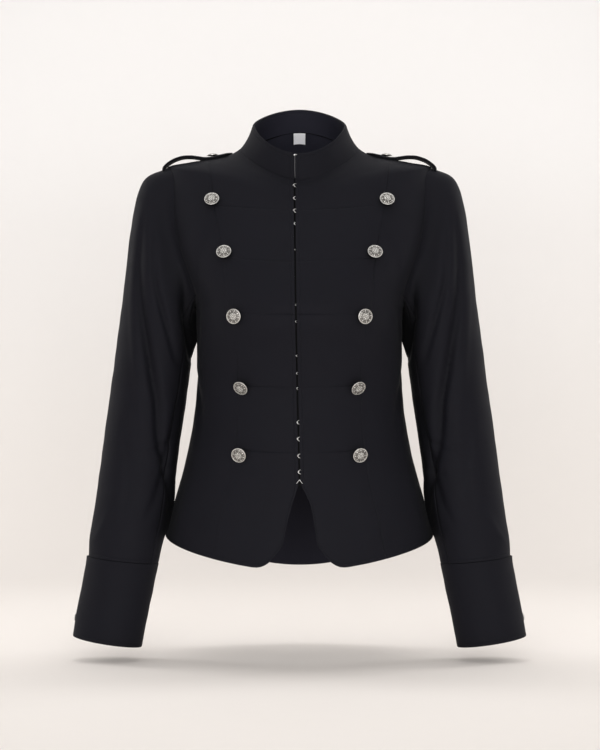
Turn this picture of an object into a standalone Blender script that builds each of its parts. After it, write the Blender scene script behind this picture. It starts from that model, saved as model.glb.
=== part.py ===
# A short fitted coat with a stand collar, hollow, in the form it takes when worn.
# Frame: +Z up, the front faces -Y, +X is the wearer's left. The origin is at the neck, between the shoulders.
# Tables and sizes are in millimetres and degrees; the mesh is written in metres.

import functools
import math

import bmesh
import bpy
import numpy as np
from mathutils import Matrix, Vector

# Driving sizes
CLOTH_WALL = 2.0
COLLAR_WALL = 2.6
PLACKET_WALL = 1.0
STRAP_WALL = 2.0
SEAM_GAP = 0.3
FRONT_BUTTON = 19.8
SMALL_BUTTON = 15.0
METRES = 0.001
BLACK_TWILL = (0.013, 0.013, 0.016, 1.0)
OLD_SILVER = (0.56, 0.55, 0.52, 1.0)
LABEL_WHITE = (0.82, 0.82, 0.84, 1.0)

# Body rings, from the hem to the collar's top edge. "up" is the distance over the cloth at the side.
# Each ring has its own height at the side, the front and the back, and its own width and depths.
BODY_COLUMNS = ("up", "side_z", "half_width", "mid_y", "front_z", "front_depth", "back_z", "back_depth",
                "front_square", "back_square", "front_fall", "back_fall", "back_dip")
BODY_RINGS = (
    (0, -508, 180.5, 0, -545, 135.0, -563, 126, 2.10, 2.10, 1.20, 1.25, 0),
    (45, -463, 168.0, 0, -483, 129.0, -495, 116, 2.10, 2.10, 1.20, 1.25, 0),
    (90, -418, 155.5, 0, -424, 121.0, -430, 104, 2.10, 2.10, 1.30, 1.30, 0),
    (135, -373, 145.5, 0, -373, 113.0, -373, 92, 2.10, 2.10, 1.40, 1.40, 0),
    (175, -332, 139.7, 0, -332, 109.5, -332, 85, 2.10, 2.10, 1.40, 1.40, 0),
    (213, -294, 138.0, 0, -294, 114.0, -294, 85, 2.15, 2.15, 1.40, 1.40, 0),
    (250, -258, 138.0, 0, -258, 123.0, -258, 90, 2.20, 2.20, 1.40, 1.40, 0),
    (285, -224, 138.5, 0, -224, 132.5, -224, 97, 2.25, 2.25, 1.40, 1.40, 0),
    (303, -206, 139.0, 0, -208, 132.0, -204, 100, 2.28, 2.30, 1.40, 1.40, 0),
    (320, -190, 143.0, 0, -195, 129.0, -186, 103, 2.32, 2.40, 1.40, 1.40, 0),
    (353, -157, 156.0, 1, -168, 120.5, -150, 106, 2.40, 2.55, 1.40, 1.40, 0),
    (385, -125, 168.0, 2, -143, 110.0, -115, 107, 2.48, 2.60, 1.40, 1.50, 0),
    (423, -87, 176.5, 3, -113, 96.0, -76, 105, 2.48, 2.50, 1.40, 1.80, 2),
    (460, -50, 180.0, 4, -84, 81.0, -38, 99, 2.35, 2.30, 1.40, 2.20, 6),
    (496, -14.7, 179.0, 5, -60, 69.0, -2, 87, 2.05, 1.95, 1.35, 2.80, 12),
    (527, -6.9, 149.0, 6.5, -51, 66.5, 14, 78, 1.85, 1.75, 1.40, 2.80, 12),
    (556, -1.8, 120.0, 8, -45, 66.0, 27, 70, 1.80, 1.80, 1.45, 2.60, 8),
    (580, 3.5, 95.5, 9.5, -40, 63.0, 36.5, 63, 1.85, 1.90, 1.50, 2.00, 3),
    (598, 12.5, 80.5, 10, -36, 62.0, 42, 60, 2.00, 2.00, 1.25, 1.50, 0),
    (616, 28.0, 69.3, 8, -18.5, 59.5, 58, 57.5, 2.00, 2.00, 1.20, 1.20, 0),
    (634, 45.0, 62.6, 6, -0.5, 56.0, 72.5, 56, 2.00, 2.00, 1.20, 1.20, 0),
)
ARMPIT_UP, SHOULDER_TIP_UP, NECK_UP, COLLAR_TOP_UP = 303, 496, 598, 634
PRINCESS_TOP_UP = 553
FRONT_COLUMNS, SIDE_COLUMNS, BACK_COLUMNS = 8, 6, 14
LINE_UPS = np.linspace(0, COLLAR_TOP_UP, 400)
SEARCH_STEPS = 30

# Long seams, as distances from the middle of the garment.
PRINCESS_COLUMNS = ("up", "front_x", "back_x")
PRINCESS_SEAM = (
    (0, 113, 92), (45, 101, 80), (90, 89, 70), (135, 82.5, 62), (175, 80.5, 58), (213, 80.5, 60),
    (250, 83, 65), (285, 89, 72), (312, 94.3, 78), (353, 97, 86), (385, 99.5, 92), (423, 107, 99),
    (467, 114.5, 106), (510, 119, 114), (556, 120, 120), (598, 120, 120),
)

# The armhole's opening either side of the side line, in degrees of turn, by the angle round the armhole.
# Round it, 0 is the armpit, 90 the front and 180 the shoulder tip.
ARMHOLE_COLUMNS = ("round", "front", "back")
ARMHOLE = (
    (0, 0, 0), (20, 12.5, 11.5), (35, 18.5, 17.5), (50, 20.5, 20), (70, 19.3, 20), (90, 16.6, 18),
    (110, 14.2, 15.5), (130, 12.2, 13), (150, 9.2, 9.8), (165, 5.5, 6), (180, 0, 0),
)

# The front edges: where the closure runs, and how the edges part below the last hook.
CLOSURE_COLUMNS = ("up", "middle_x", "left_gap", "right_gap")
CLOSURE = (
    (0, -0.5, 29.0, 26.0), (20, -0.5, 24.0, 21.5), (40, -0.5, 20.0, 16.5), (60, -0.4, 15.0, 9.5),
    (74, -0.2, 7.0, 4.0), (84, 0.0, 0.9, 0.9), (115, -0.8, 0.8, 0.8), (196, -2.8, 0.8, 0.8),
    (294, -4.6, 0.8, 0.8), (380, -5.6, 0.8, 0.8), (468, -6.3, 0.8, 0.8), (598, -6.6, 0.8, 0.8),
    (616, -6.7, 0.8, 0.8), (634, -6.9, 1.6, 1.6),
)

# Crosswise seams of the centre front: height at the closure, and rise towards the princess seam.
BAND_COLUMNS = ("name", "height", "rise")
BAND_SEAMS = (("hip", -394, 3.0), ("waist", -310.8, 3.0), ("bust", -216.6, 2.0), ("chest", -147.2, 5.5),
              ("yoke", -78.0, 7.0))

# Front buttons: distance from the middle, height, and how far each droops, in degrees.
BUTTON_COLUMNS = ("x", "z", "droop", "aside")
FRONT_BUTTONS = ((114.7, -65.6, -11, -8), (97.4, -136.8, -16, -11), (82.9, -218.5, 3, -10), (74.3, -309.0, 25, 3),
                 (76.8, -397.0, 29, -4))

# Sleeve rings, given by their outermost and innermost points seen from the front.
SLEEVE_COLUMNS = ("down", "outer_x", "outer_z", "inner_x", "inner_z", "mid_y", "half_depth")
SLEEVE_RINGS = (
    (0, 231.5, -130, 140.8, -236, 1, 53), (60, 240.0, -203, 143.8, -262, 2, 51),
    (115, 247.5, -260, 148.5, -296, 2, 49), (170, 255.0, -318, 153.5, -334, 0, 47),
    (225, 262.5, -376, 160.3, -381, -5, 45), (280, 269.3, -430, 167.2, -436, -12, 43),
    (330, 275.3, -480, 174.8, -488, -20, 41), (370, 280.5, -518, 184.5, -528, -27, 39),
    (388, 281.0, -535, 188.0, -545, -30, 38), (420, 285.5, -566, 194.5, -577, -34, 37),
    (460, 292.0, -604, 202.5, -616, -40, 35.5), (498, 297.5, -640, 209.0, -654, -46, 34),
)
CUFF_SEAM_DOWN, CUFF_END_DOWN = 388, 498
CUFF_STEP = 1.6
SLEEVE_SEAM_FRONT, SLEEVE_SEAM_BACK = 36, 264
ARMHOLE_STEP = 12
CAP_TANGENTS = {"start_low": 26, "start_high": 98, "end_low": 40, "end_high": 290}
SHOULDER_WAY = (0.91, 0.0, -0.415)

# Folds: the line that each follows, and its depth and half breadth. Depth below zero is a ridge.
SLEEVE_FOLD_COLUMNS = ("line", "depth", "breadth")
SLEEVE_FOLDS = (
    (((-40, 132), (33, 122), (100, 101), (158, 86), (212, 68), (262, 48), (300, 20)), 5.0, 11.0),
    (((-75, 96), (-30, 84), (20, 70), (70, 58)), 3.0, 10.0),
    (((150, 28), (225, 34), (285, 44), (340, 62)), 2.6, 8.0),
    (((240, 205), (265, 235), (280, 270), (286, 305)), 3.0, 9.0),
    (((275, 330), (290, 300), (300, 262), (306, 225)), 2.4, 8.0),
    (((-20, 235), (60, 228), (140, 240), (200, 262)), 3.0, 11.0),
)
BODY_FOLD_COLUMNS = ("line", "depth", "breadth")
BODY_FOLDS = (
    (((112, 66), (150, 70), (190, 78), (225, 92)), 3.0, 12.0),
    (((60, 112), (110, 118), (160, 128), (205, 142)), 2.6, 13.0),
    (((95, 150), (150, 146), (205, 150)), 2.0, 13.0),
    (((4, 38), (35, 40), (70, 36), (100, 30)), -2.4, 14.0),
    (((2, 74), (40, 72), (85, 70)), -2.6, 15.0),
    (((2, 128), (40, 130), (90, 134)), -3.0, 16.0),
)


@functools.lru_cache(maxsize=None)
def table_curves(table):
    """A table's first column, its other columns, and the slopes of curves that never overshoot its rows."""
    rows = np.array(table, float)
    known, values = rows[:, 0], rows[:, 1:]
    step = np.diff(known)[:, None]
    slope = np.diff(values, axis=0) / step
    before, after = 2 * step[1:] + step[:-1], step[1:] + 2 * step[:-1]
    same = slope[:-1] * slope[1:] > 0
    earlier, later = np.where(same, slope[:-1], 1), np.where(same, slope[1:], 1)
    inner = np.where(same, (before + after) / (before / earlier + after / later), 0)
    return known, values, np.concatenate([slope[:1], inner, slope[-1:]])


def read_table(table, at):
    """The columns after a table's first, read at these places along smooth curves through its rows."""
    known, values, slopes = table_curves(table)
    at = np.clip(np.asarray(at, float), known[0], known[-1])
    i = np.clip(np.searchsorted(known, at, side="right") - 1, 0, len(known) - 2)
    step = (known[i + 1] - known[i])[..., None]
    t = (at - known[i])[..., None] / step
    return ((2 * t**3 - 3 * t**2 + 1) * values[i] + (t**3 - 2 * t**2 + t) * step * slopes[i]
            + (3 * t**2 - 2 * t**3) * values[i + 1] + (t**3 - t**2) * step * slopes[i + 1])


def column(table, columns, name, at):
    """One named column of a table, read at the places given in its first column."""
    return read_table(table, at)[..., columns.index(name) - 1]


def fold_relief(folds, along, turn, scale):
    """How far the cloth sinks into the folds at these places. Scale turns degrees into millimetres."""
    along, turn = np.broadcast_arrays(np.asarray(along, float), np.asarray(turn, float))
    sunk = np.zeros(along.shape)
    for line, depth, breadth in folds:
        middle = read_table(line, along)[..., 0]
        part = np.clip((along - line[0][0]) / (line[-1][0] - line[0][0]), 0, 1)
        off = ((turn - middle + 180) % 360 - 180) * scale
        sunk = sunk + depth * np.sin(math.pi * part) ** 0.7 * np.exp(-((off / breadth) ** 2))
    return sunk


# The body

def body_base(up, turn):
    """A point of the body's outer form. Turn is 0 at the front, 90 at the side and 180 at the back."""
    up, turn = np.broadcast_arrays(np.asarray(up, float), np.asarray(turn, float))
    read = dict(zip(BODY_COLUMNS[1:], np.moveaxis(read_table(BODY_RINGS, up), -1, 0)))
    c, s = np.cos(np.radians(turn)), np.sin(np.radians(turn))
    front = c > 0
    depth = np.where(front, read["front_depth"], read["back_depth"])
    power = np.where(front, read["front_square"], read["back_square"])
    reach = (np.abs(c / depth) ** power + np.abs(s / read["half_width"]) ** power) ** (-1 / power)
    lift = np.where(front, read["front_z"], read["back_z"]) - read["side_z"]
    fall = np.where(front, read["front_fall"], read["back_fall"])
    dip = np.where(front, 0, read["back_dip"]) * 4 * c**2 * (1 - c**2)
    z = read["side_z"] + lift * np.abs(c) ** fall - dip
    return np.stack([reach * s, read["mid_y"] - reach * c, z], -1)


def unit(vectors):
    return vectors / np.linalg.norm(vectors, axis=-1, keepdims=True)


def body_normal(up, turn):
    along = body_base(up + 0.5, turn) - body_base(up - 0.5, turn)
    across = body_base(up, turn + 0.15) - body_base(up, turn - 0.15)
    return unit(np.cross(across, along))


def body_point(up, turn, out=0.0):
    """A point of the outer cloth, with its folds, moved out of the surface by some millimetres."""
    sunk = fold_relief(BODY_FOLDS, up, np.abs(turn), 2.3)
    return body_base(up, turn) + body_normal(up, turn) * np.expand_dims(out - sunk, -1)


def turn_at(up, x, low=0.0, high=90.0):
    """The turn at which a ring reaches this distance from the middle."""
    up, x = np.broadcast_arrays(np.asarray(up, float), np.asarray(x, float))
    low, high = np.full(up.shape, low, float), np.full(up.shape, high, float)
    rising = body_base(up, high)[..., 0] > body_base(up, low)[..., 0]
    for _ in range(SEARCH_STEPS):
        half = (low + high) / 2
        short = (body_base(up, half)[..., 0] < x) == rising
        low, high = np.where(short, half, low), np.where(short, high, half)
    return (low + high) / 2


def up_at(z, turn_of):
    """The ring at which a line up the body, given by its turn, reaches this height."""
    z = np.asarray(z, float)
    low, high = np.zeros(z.shape), np.full(z.shape, float(NECK_UP))
    for _ in range(SEARCH_STEPS):
        half = (low + high) / 2
        short = body_base(half, turn_of(half))[..., 2] < z
        low, high = np.where(short, half, low), np.where(short, high, half)
    return (low + high) / 2


@functools.lru_cache(maxsize=None)
def closure_line(side):
    middle = column(CLOSURE, CLOSURE_COLUMNS, "middle_x", LINE_UPS)
    gap = column(CLOSURE, CLOSURE_COLUMNS, "left_gap" if side > 0 else "right_gap", LINE_UPS)
    return turn_at(LINE_UPS, side * middle + gap, -60.0, 60.0)


def closure_turn(up, side):
    """The turn of a front edge. Side is 1 for the wearer's left front and -1 for the right."""
    return np.interp(up, LINE_UPS, closure_line(side))


def seam_shift(up, turn):
    """Half of a seam's gap, as a turn."""
    step = np.linalg.norm(body_base(up, turn + 0.5) - body_base(up, turn - 0.5), axis=-1)
    return SEAM_GAP / 2 / step


@functools.lru_cache(maxsize=None)
def princess_line(back):
    x = column(PRINCESS_SEAM, PRINCESS_COLUMNS, "back_x" if back else "front_x", LINE_UPS)
    return turn_at(LINE_UPS, x, 180.0 if back else 0.0, 90.0)


def princess_turn(up, back=False):
    return np.interp(up, LINE_UPS, princess_line(back))


def side_turn(up, back=False):
    """The outer edge of a side panel: the side seam, the armhole and then the shoulder seam."""
    up = np.asarray(up, float)
    part = np.clip((up - ARMPIT_UP) / (SHOULDER_TIP_UP - ARMPIT_UP), 0, 1)
    opening = column(ARMHOLE, ARMHOLE_COLUMNS, "back" if back else "front", np.degrees(np.arccos(1 - 2 * part)))
    return 90 + opening if back else 90 - opening


# Meshes

def new_material(name, colour, rough, metal=0.0):
    material = bpy.data.materials.new(name)
    material.use_nodes = True
    shader = material.node_tree.nodes["Principled BSDF"]
    shader.inputs["Base Color"].default_value = colour
    shader.inputs["Roughness"].default_value = rough
    shader.inputs["Metallic"].default_value = metal
    return material


def add_object(name, points, faces, material, flat=False):
    mesh = bpy.data.meshes.new(name)
    mesh.from_pydata([tuple(p) for p in np.asarray(points) * METRES], [], faces)
    mesh.materials.append(material)
    form = bmesh.new()
    form.from_mesh(mesh)
    if form.calc_volume(signed=True) < 0:
        bmesh.ops.reverse_faces(form, faces=form.faces)
    form.to_mesh(mesh)
    form.free()
    if not flat:
        mesh.shade_smooth()
        mesh.set_sharp_from_angle(angle=math.radians(40))
    found = bpy.data.objects.new(name, mesh)
    bpy.context.scene.collection.objects.link(found)
    return found


def cloth_wall(name, outer, inner, material):
    """A closed wall between two grids of points, rows by columns."""
    rows, columns = outer.shape[:2]
    points = np.concatenate([outer.reshape(-1, 3), inner.reshape(-1, 3)])
    count = rows * columns
    faces = []

    def at(row, col, layer):
        return layer * count + row * columns + col

    for row in range(rows - 1):
        for col in range(columns - 1):
            quad = [at(row, col, 0), at(row, col + 1, 0), at(row + 1, col + 1, 0), at(row + 1, col, 0)]
            faces.append(quad)
            faces.append([i + count for i in reversed(quad)])
    for row in range(rows - 1):
        faces.append([at(row + 1, 0, 0), at(row + 1, 0, 1), at(row, 0, 1), at(row, 0, 0)])
        last = columns - 1
        faces.append([at(row, last, 0), at(row, last, 1), at(row + 1, last, 1), at(row + 1, last, 0)])
    for col in range(columns - 1):
        faces.append([at(0, col, 0), at(0, col, 1), at(0, col + 1, 1), at(0, col + 1, 0)])
        last = rows - 1
        faces.append([at(last, col + 1, 0), at(last, col + 1, 1), at(last, col, 1), at(last, col, 0)])
    return add_object(name, points, faces, material)


def body_panel(name, side, ups, turns, material, wall=CLOTH_WALL, out=0.0):
    """A piece of the body between rows of places. Side is -1 for a piece of the wearer's right."""
    outer = body_point(ups, side * turns, out)
    inner = outer - body_normal(ups, side * turns) * wall
    return cloth_wall(name, outer, inner, material)


def panel_places(rows, low, high, start, end, columns):
    """Rows of places between two crosswise lines and two edges, each edge drawn in by half a seam's gap."""
    share = np.linspace(0, 1, columns + 1)
    ups = low(share)[None, :] + (high(share) - low(share))[None, :] * rows[:, None]
    first, last = start(ups), end(ups)
    first, last = first + seam_shift(ups, first), last - seam_shift(ups, last)
    return ups, first + (last - first) * share[None, :]


def band_line(height, rise, side):
    """A crosswise seam of the centre front, as the ring that it meets in each column."""
    def line(share):
        def turn_of(up):
            first, last = closure_turn(up, side), princess_turn(up)
            return first + (last - first) * share

        return up_at(height + rise * share**2, turn_of)
    return line


def front_hem(share):
    """The lower edge of the centre front, rounded up into the front edge."""
    near = np.clip(1 - share / 0.42, 0, 1)
    return 24 * near**2.6


# Pieces of the body

def rings_between(seams):
    """Rings from hem to neck, closest where the armhole turns. Where a crosswise seam ends, one is moved to it."""
    angle = np.radians(np.arange(0, 181, ARMHOLE_STEP))
    armhole = ARMPIT_UP + (SHOULDER_TIP_UP - ARMPIT_UP) * (1 - np.cos(angle)) / 2
    rings = np.concatenate([np.linspace(0, ARMPIT_UP, 11)[:-1], armhole,
                            np.linspace(SHOULDER_TIP_UP, PRINCESS_TOP_UP, 4)[1:],
                            np.linspace(PRINCESS_TOP_UP, NECK_UP - SEAM_GAP / 2, 4)[1:]])
    fixed = (0, ARMPIT_UP, SHOULDER_TIP_UP, PRINCESS_TOP_UP)
    for seam in seams:
        kept = (np.abs(rings - seam) > 6) | np.isin(rings, fixed)
        rings = np.sort(np.append(rings[kept], seam))
    return rings


def band_ends():
    """The rings at which the crosswise seams meet the princess seam."""
    return [float(up_at(height + rise, princess_turn)) for _, height, rise in BAND_SEAMS]


def make_fronts(material):
    """The centre front in six bands from hem to neck, each side."""
    ends = [0.0] + band_ends() + [NECK_UP - SEAM_GAP / 2]
    rings, half_gap = rings_between(ends[1:-1]), SEAM_GAP / 2 * 1.25
    for side, word in ((1, "left"), (-1, "right")):
        def start(up, side=side):
            return closure_turn(up, side)

        lines = [front_hem] + [band_line(height, rise, side) for _, height, rise in BAND_SEAMS]
        lines.append(lambda share: np.full(share.shape, NECK_UP - SEAM_GAP / 2))
        for i, name in enumerate(("peplum", "midriff", "ribs", "bust", "chest", "yoke")):
            inside = (rings >= ends[i]) & (rings <= ends[i + 1])
            share = (rings[inside] - ends[i]) / (ends[i + 1] - ends[i])
            low_gap, high_gap = half_gap * (i > 0), half_gap * (i < 5)

            def low(across, line=lines[i], gap=low_gap):
                return line(across) + gap

            def high(across, line=lines[i + 1], gap=high_gap):
                return line(across) - gap

            ups, turns = panel_places(share, low, high, start, princess_turn, FRONT_COLUMNS)
            body_panel(f"front_{name}_{word}", side, ups, turns, material)


def make_sides(material):
    """Front and back side panels, from the hem up past the armhole to the shoulder."""
    def low(columns):
        return np.zeros(columns.shape)

    def high(columns):
        return np.full(columns.shape, float(PRINCESS_TOP_UP))

    def back_start(up):
        return side_turn(up, True)

    def back_end(up):
        return princess_turn(up, True)

    for side, word in ((1, "left"), (-1, "right")):
        rings = rings_between(band_ends())
        share = rings[rings <= PRINCESS_TOP_UP] / PRINCESS_TOP_UP
        ups, turns = panel_places(share, low, high, princess_turn, side_turn, SIDE_COLUMNS)
        body_panel(f"front_side_{word}", side, ups, turns, material)
        rings = rings_between(())
        share = rings[rings <= PRINCESS_TOP_UP] / PRINCESS_TOP_UP
        ups, turns = panel_places(share, low, high, back_start, back_end, SIDE_COLUMNS)
        body_panel(f"back_side_{word}", side, ups, turns, material)


def make_back(material):
    """The centre back, cut in one piece on the fold, from hem to neck and out to both shoulder seams."""
    rings = rings_between(())
    share = np.linspace(-1, 1, BACK_COLUMNS + 1)
    edge = princess_turn(rings, True)
    edge = edge + seam_shift(rings, edge)
    turns = 180 + (180 - edge)[:, None] * share[None, :]
    body_panel("back_centre", 1, np.repeat(rings[:, None], turns.shape[1], 1), turns, material)


def make_collar(material):
    """The stand collar: one band from front edge to front edge."""
    ups = np.linspace(NECK_UP + SEAM_GAP / 2, COLLAR_TOP_UP, 4)
    left, right = closure_turn(ups, 1)[:, None], 360 - closure_turn(ups, -1)[:, None]
    front = np.linspace(0, 1, FRONT_COLUMNS + 1)[None, :]
    back = np.linspace(90, 270, BACK_COLUMNS + 1)[None, 1:-1].repeat(len(ups), 0)
    turns = np.concatenate([left + (90 - left) * front, back, 270 + (right - 270) * front], 1)
    body_panel("collar", 1, np.repeat(ups[:, None], turns.shape[1], 1), turns, material, COLLAR_WALL)


def make_placket(material):
    """The underlap behind the front edges, which carries the hooks."""
    ups = np.linspace(float(up_at(-437, lambda up: 0.0)), NECK_UP - 6, 24)
    middle = column(CLOSURE, CLOSURE_COLUMNS, "middle_x", ups)
    share = np.linspace(-1, 1, 4)
    turns = turn_at(ups[:, None], middle[:, None] + 11 * share[None, :], -60.0, 60.0)
    body_panel("hook_placket", 1, np.repeat(ups[:, None], 4, 1), turns, material, PLACKET_WALL,
               -CLOTH_WALL - 4 * SEAM_GAP)


def make_label(material):
    """A small bare label, hanging from the neck seam inside the back."""
    lower_edge, half = 28.0, 8.5
    ups = np.linspace(float(up_at(lower_edge, lambda up: np.full(np.shape(up), 180.0))), NECK_UP - 1, 4)
    reach = turn_at(ups, half, 180.0, 120.0) - 180
    turns = 180 + reach[:, None] * np.linspace(-1, 1, 3)[None, :]
    body_panel("size_label", 1, np.repeat(ups[:, None], 3, 1), turns, material, 0.8,
               -CLOTH_WALL - 3 * SEAM_GAP)


# Sleeves

def sleeve_free(down, around):
    """A point of the sleeve's outer form below the cap. Around is 0 inside, 90 in front, 180 outside."""
    down, around = np.broadcast_arrays(np.asarray(down, float), np.asarray(around, float))
    read = dict(zip(SLEEVE_COLUMNS[1:], np.moveaxis(read_table(SLEEVE_RINGS, down), -1, 0)))
    c, s = np.cos(np.radians(around)), np.sin(np.radians(around))
    x = (read["outer_x"] + read["inner_x"]) / 2 - c * (read["outer_x"] - read["inner_x"]) / 2
    z = (read["outer_z"] + read["inner_z"]) / 2 - c * (read["outer_z"] - read["inner_z"]) / 2
    return np.stack([x, read["mid_y"] - s * read["half_depth"], z], -1)


def armhole_place(around):
    """The ring and turn of the armhole's edge, by the angle round it."""
    around = np.asarray(around, float) % 360
    folded = np.where(around > 180, 360 - around, around)
    up = ARMPIT_UP + (SHOULDER_TIP_UP - ARMPIT_UP) * (1 - np.cos(np.radians(folded))) / 2
    front = 90 - column(ARMHOLE, ARMHOLE_COLUMNS, "front", folded)
    back = 90 + column(ARMHOLE, ARMHOLE_COLUMNS, "back", folded)
    return up, np.where(around > 180, back, front)


def sleeve_start(around):
    """The sleeve's first points, just inside the armhole, with the way in and the body's normal there."""
    up, turn = armhole_place(around)
    edge, normal = body_point(up, turn), body_normal(up, turn)
    ahead, behind = body_point(*armhole_place(around + 1)), body_point(*armhole_place(around - 1))
    inward = unit(np.cross(normal, unit(ahead - behind)))
    middle = body_base(np.full(up.shape, 400.0), 90.0)
    inward = inward * np.sign(np.sum(inward * (middle - edge), -1, keepdims=True))
    return edge + inward * (SEAM_GAP + 0.1), inward, normal


def sleeve_base(down, around):
    """A point of the sleeve. Below zero it is in the cap, which runs from -100 at the armhole."""
    down, around = np.broadcast_arrays(np.asarray(down, float), np.asarray(around, float))
    start, inward, _ = sleeve_start(around)
    end = sleeve_free(np.zeros(down.shape), around)
    leaving = (sleeve_free(np.full(down.shape, 2.0), around) - end) / 2
    height = ((1 - np.cos(np.radians(around))) / 2) ** 1.4
    pull = CAP_TANGENTS
    leaving_way = unit(inward + (np.array(SHOULDER_WAY) - inward) * (height**1.5)[..., None])
    first = (pull["start_low"] + (pull["start_high"] - pull["start_low"]) * height)[..., None] * leaving_way
    last = (pull["end_low"] + (pull["end_high"] - pull["end_low"]) * height)[..., None] * leaving
    t = np.clip(down / 100 + 1, 0, 1)[..., None]
    cap = ((2 * t**3 - 3 * t**2 + 1) * start + (t**3 - 2 * t**2 + t) * first
           + (3 * t**2 - 2 * t**3) * end + (t**3 - t**2) * last)
    return np.where((down < 0)[..., None], cap, sleeve_free(np.maximum(down, 0), around))


def sleeve_normal(down, around):
    along = sleeve_base(down + 0.5, around) - sleeve_base(np.maximum(down - 0.5, -100), around)
    across = sleeve_base(down, around + 0.5) - sleeve_base(down, around - 0.5)
    return unit(np.cross(along, across))


def sleeve_wall_points(downs, arounds, wall, out=0.0):
    """Outer and inner points of the sleeve's wall. The first ring leans as the body's edge does."""
    downs, arounds = np.broadcast_arrays(downs, arounds)
    sunk = fold_relief(SLEEVE_FOLDS, downs, arounds, 0.85)
    normal = sleeve_normal(downs, arounds)
    blend = np.clip((downs + 100) / 12, 0, 1)[..., None]
    normal = unit(sleeve_start(arounds)[2] * (1 - blend) + normal * blend)
    outer = sleeve_base(downs, arounds) + normal * (out - sunk)[..., None]
    return outer, outer - normal * wall


def mirror_x(points, side):
    return points * np.array([side, 1, 1])


def make_sleeves(material):
    """Two-piece sleeves, with seams towards the front and the back of the inner arm."""
    downs = np.concatenate([[-100, -94, -85, -72, -58, -43, -28, -14], np.linspace(0, CUFF_SEAM_DOWN, 13)])
    half_gap = SEAM_GAP / 2 / 0.45
    cuts = {"upper": (SLEEVE_SEAM_FRONT, SLEEVE_SEAM_BACK),
            "under": (SLEEVE_SEAM_BACK - 360, SLEEVE_SEAM_FRONT)}
    for side, word in ((1, "left"), (-1, "right")):
        for name, (first, last) in cuts.items():
            arounds = np.arange(first, last + 1, ARMHOLE_STEP).astype(float)
            arounds[0], arounds[-1] = first + half_gap, last - half_gap
            outer, inner = sleeve_wall_points(downs[:, None], arounds[None, :], CLOTH_WALL)
            cloth_wall(f"sleeve_{name}_{word}", mirror_x(outer, side), mirror_x(inner, side), material)


def make_cuffs(material):
    """Deep cuffs, each a band whose end laps over its start at the back of the wrist."""
    first, lap = 188, 26
    arounds = np.linspace(first, first + 360 + lap, 31)
    lifted = (CLOTH_WALL + SEAM_GAP + 0.2) * np.clip((arounds - first - 300) / 50, 0, 1)
    lifted = lifted * lifted / (CLOTH_WALL + SEAM_GAP + 0.2)
    downs = np.linspace(CUFF_SEAM_DOWN + SEAM_GAP, CUFF_END_DOWN, 5)
    for side, word in ((1, "left"), (-1, "right")):
        outer, inner = sleeve_wall_points(downs[:, None], arounds[None, :], CLOTH_WALL,
                                          CUFF_STEP + np.repeat(lifted[None, :], 5, 0))
        cloth_wall(f"cuff_{word}", mirror_x(outer, side), mirror_x(inner, side), material)


# Shoulder straps and buttons

STRAP_COLUMNS = ("x", "clearance", "half_breadth", "lean")
STRAP = (
    (176.8, 2.2, 14.5, 6.5), (173.5, 5.4, 14.5, 5.0), (166, 7.9, 14.5, 2.2), (156, 8.1, 14.5, 0.5),
    (146, 6.3, 14.4, 0), (136, 3.4, 14.2, 0), (127, 1.3, 14.0, 0), (117, 0.8, 13.8, 0), (108, 0.8, 13.6, 0),
    (100, 0.8, 12.6, 0), (94, 0.8, 8.0, 0), (90.5, 0.8, 2.2, 0),
)


def turn_for_offset(up, off):
    """The turn at which a ring lies this far in front of (below zero) or behind the shoulder seam."""
    low, high = np.full(up.shape, 40.0), np.full(up.shape, 140.0)
    target = body_base(up, 90.0)[..., 1] + off
    for _ in range(SEARCH_STEPS):
        half = (low + high) / 2
        short = body_base(up, half)[..., 1] < target
        low, high = np.where(short, half, low), np.where(short, high, half)
    return (low + high) / 2


def shoulder_places(x, off):
    """Rings and turns on the shoulder at these distances from the middle and from its seam."""
    low, high = np.full(x.shape, SHOULDER_TIP_UP - 60.0), np.full(x.shape, float(NECK_UP))
    for _ in range(SEARCH_STEPS):
        half = (low + high) / 2
        outside = body_base(half, turn_for_offset(half, off))[..., 0] > x
        low, high = np.where(outside, half, low), np.where(outside, high, half)
    half = (low + high) / 2
    return half, turn_for_offset(half, off)


def strap_rows():
    """Underside and top points of the strap, row by row from the shoulder's tip to the neck."""
    x, clearance, half, lean = (values[:, None] for values in np.array(STRAP, float).T)
    ups, turns = shoulder_places(*np.broadcast_arrays(x, half * np.linspace(-1, 1, 5)[None, :]))
    surface, normal = body_point(ups, turns), body_normal(ups, turns)
    highest = surface[..., 2].max(1, keepdims=True)
    surface[..., 2] += np.where(clearance > 1, 0.25, 0) * (highest - surface[..., 2])
    way = unit(np.array([0, 0, 0.6]) + normal * 0.4)
    under = surface + way * (clearance + 0.1)[..., None] + lean[..., None] * np.array([1, 0, -0.4])
    return under, under + way * STRAP_WALL


def make_straps(material):
    under, top = strap_rows()
    for side, word in ((1, "left"), (-1, "right")):
        cloth_wall(f"shoulder_strap_{word}", mirror_x(top, side), mirror_x(under, side), material)


def button_profile(size, shank):
    """Radius and height up the button's outer side, from its shank's end to its dome."""
    r = size / 2
    return ((0.0, 0.0), (0.2 * r, 0.0), (0.2 * r, shank), (0.97 * r, shank + 0.02 * r), (r, shank + 0.14 * r),
            (0.82 * r, shank + 0.26 * r), (0.0, shank + 0.4 * r))


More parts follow.
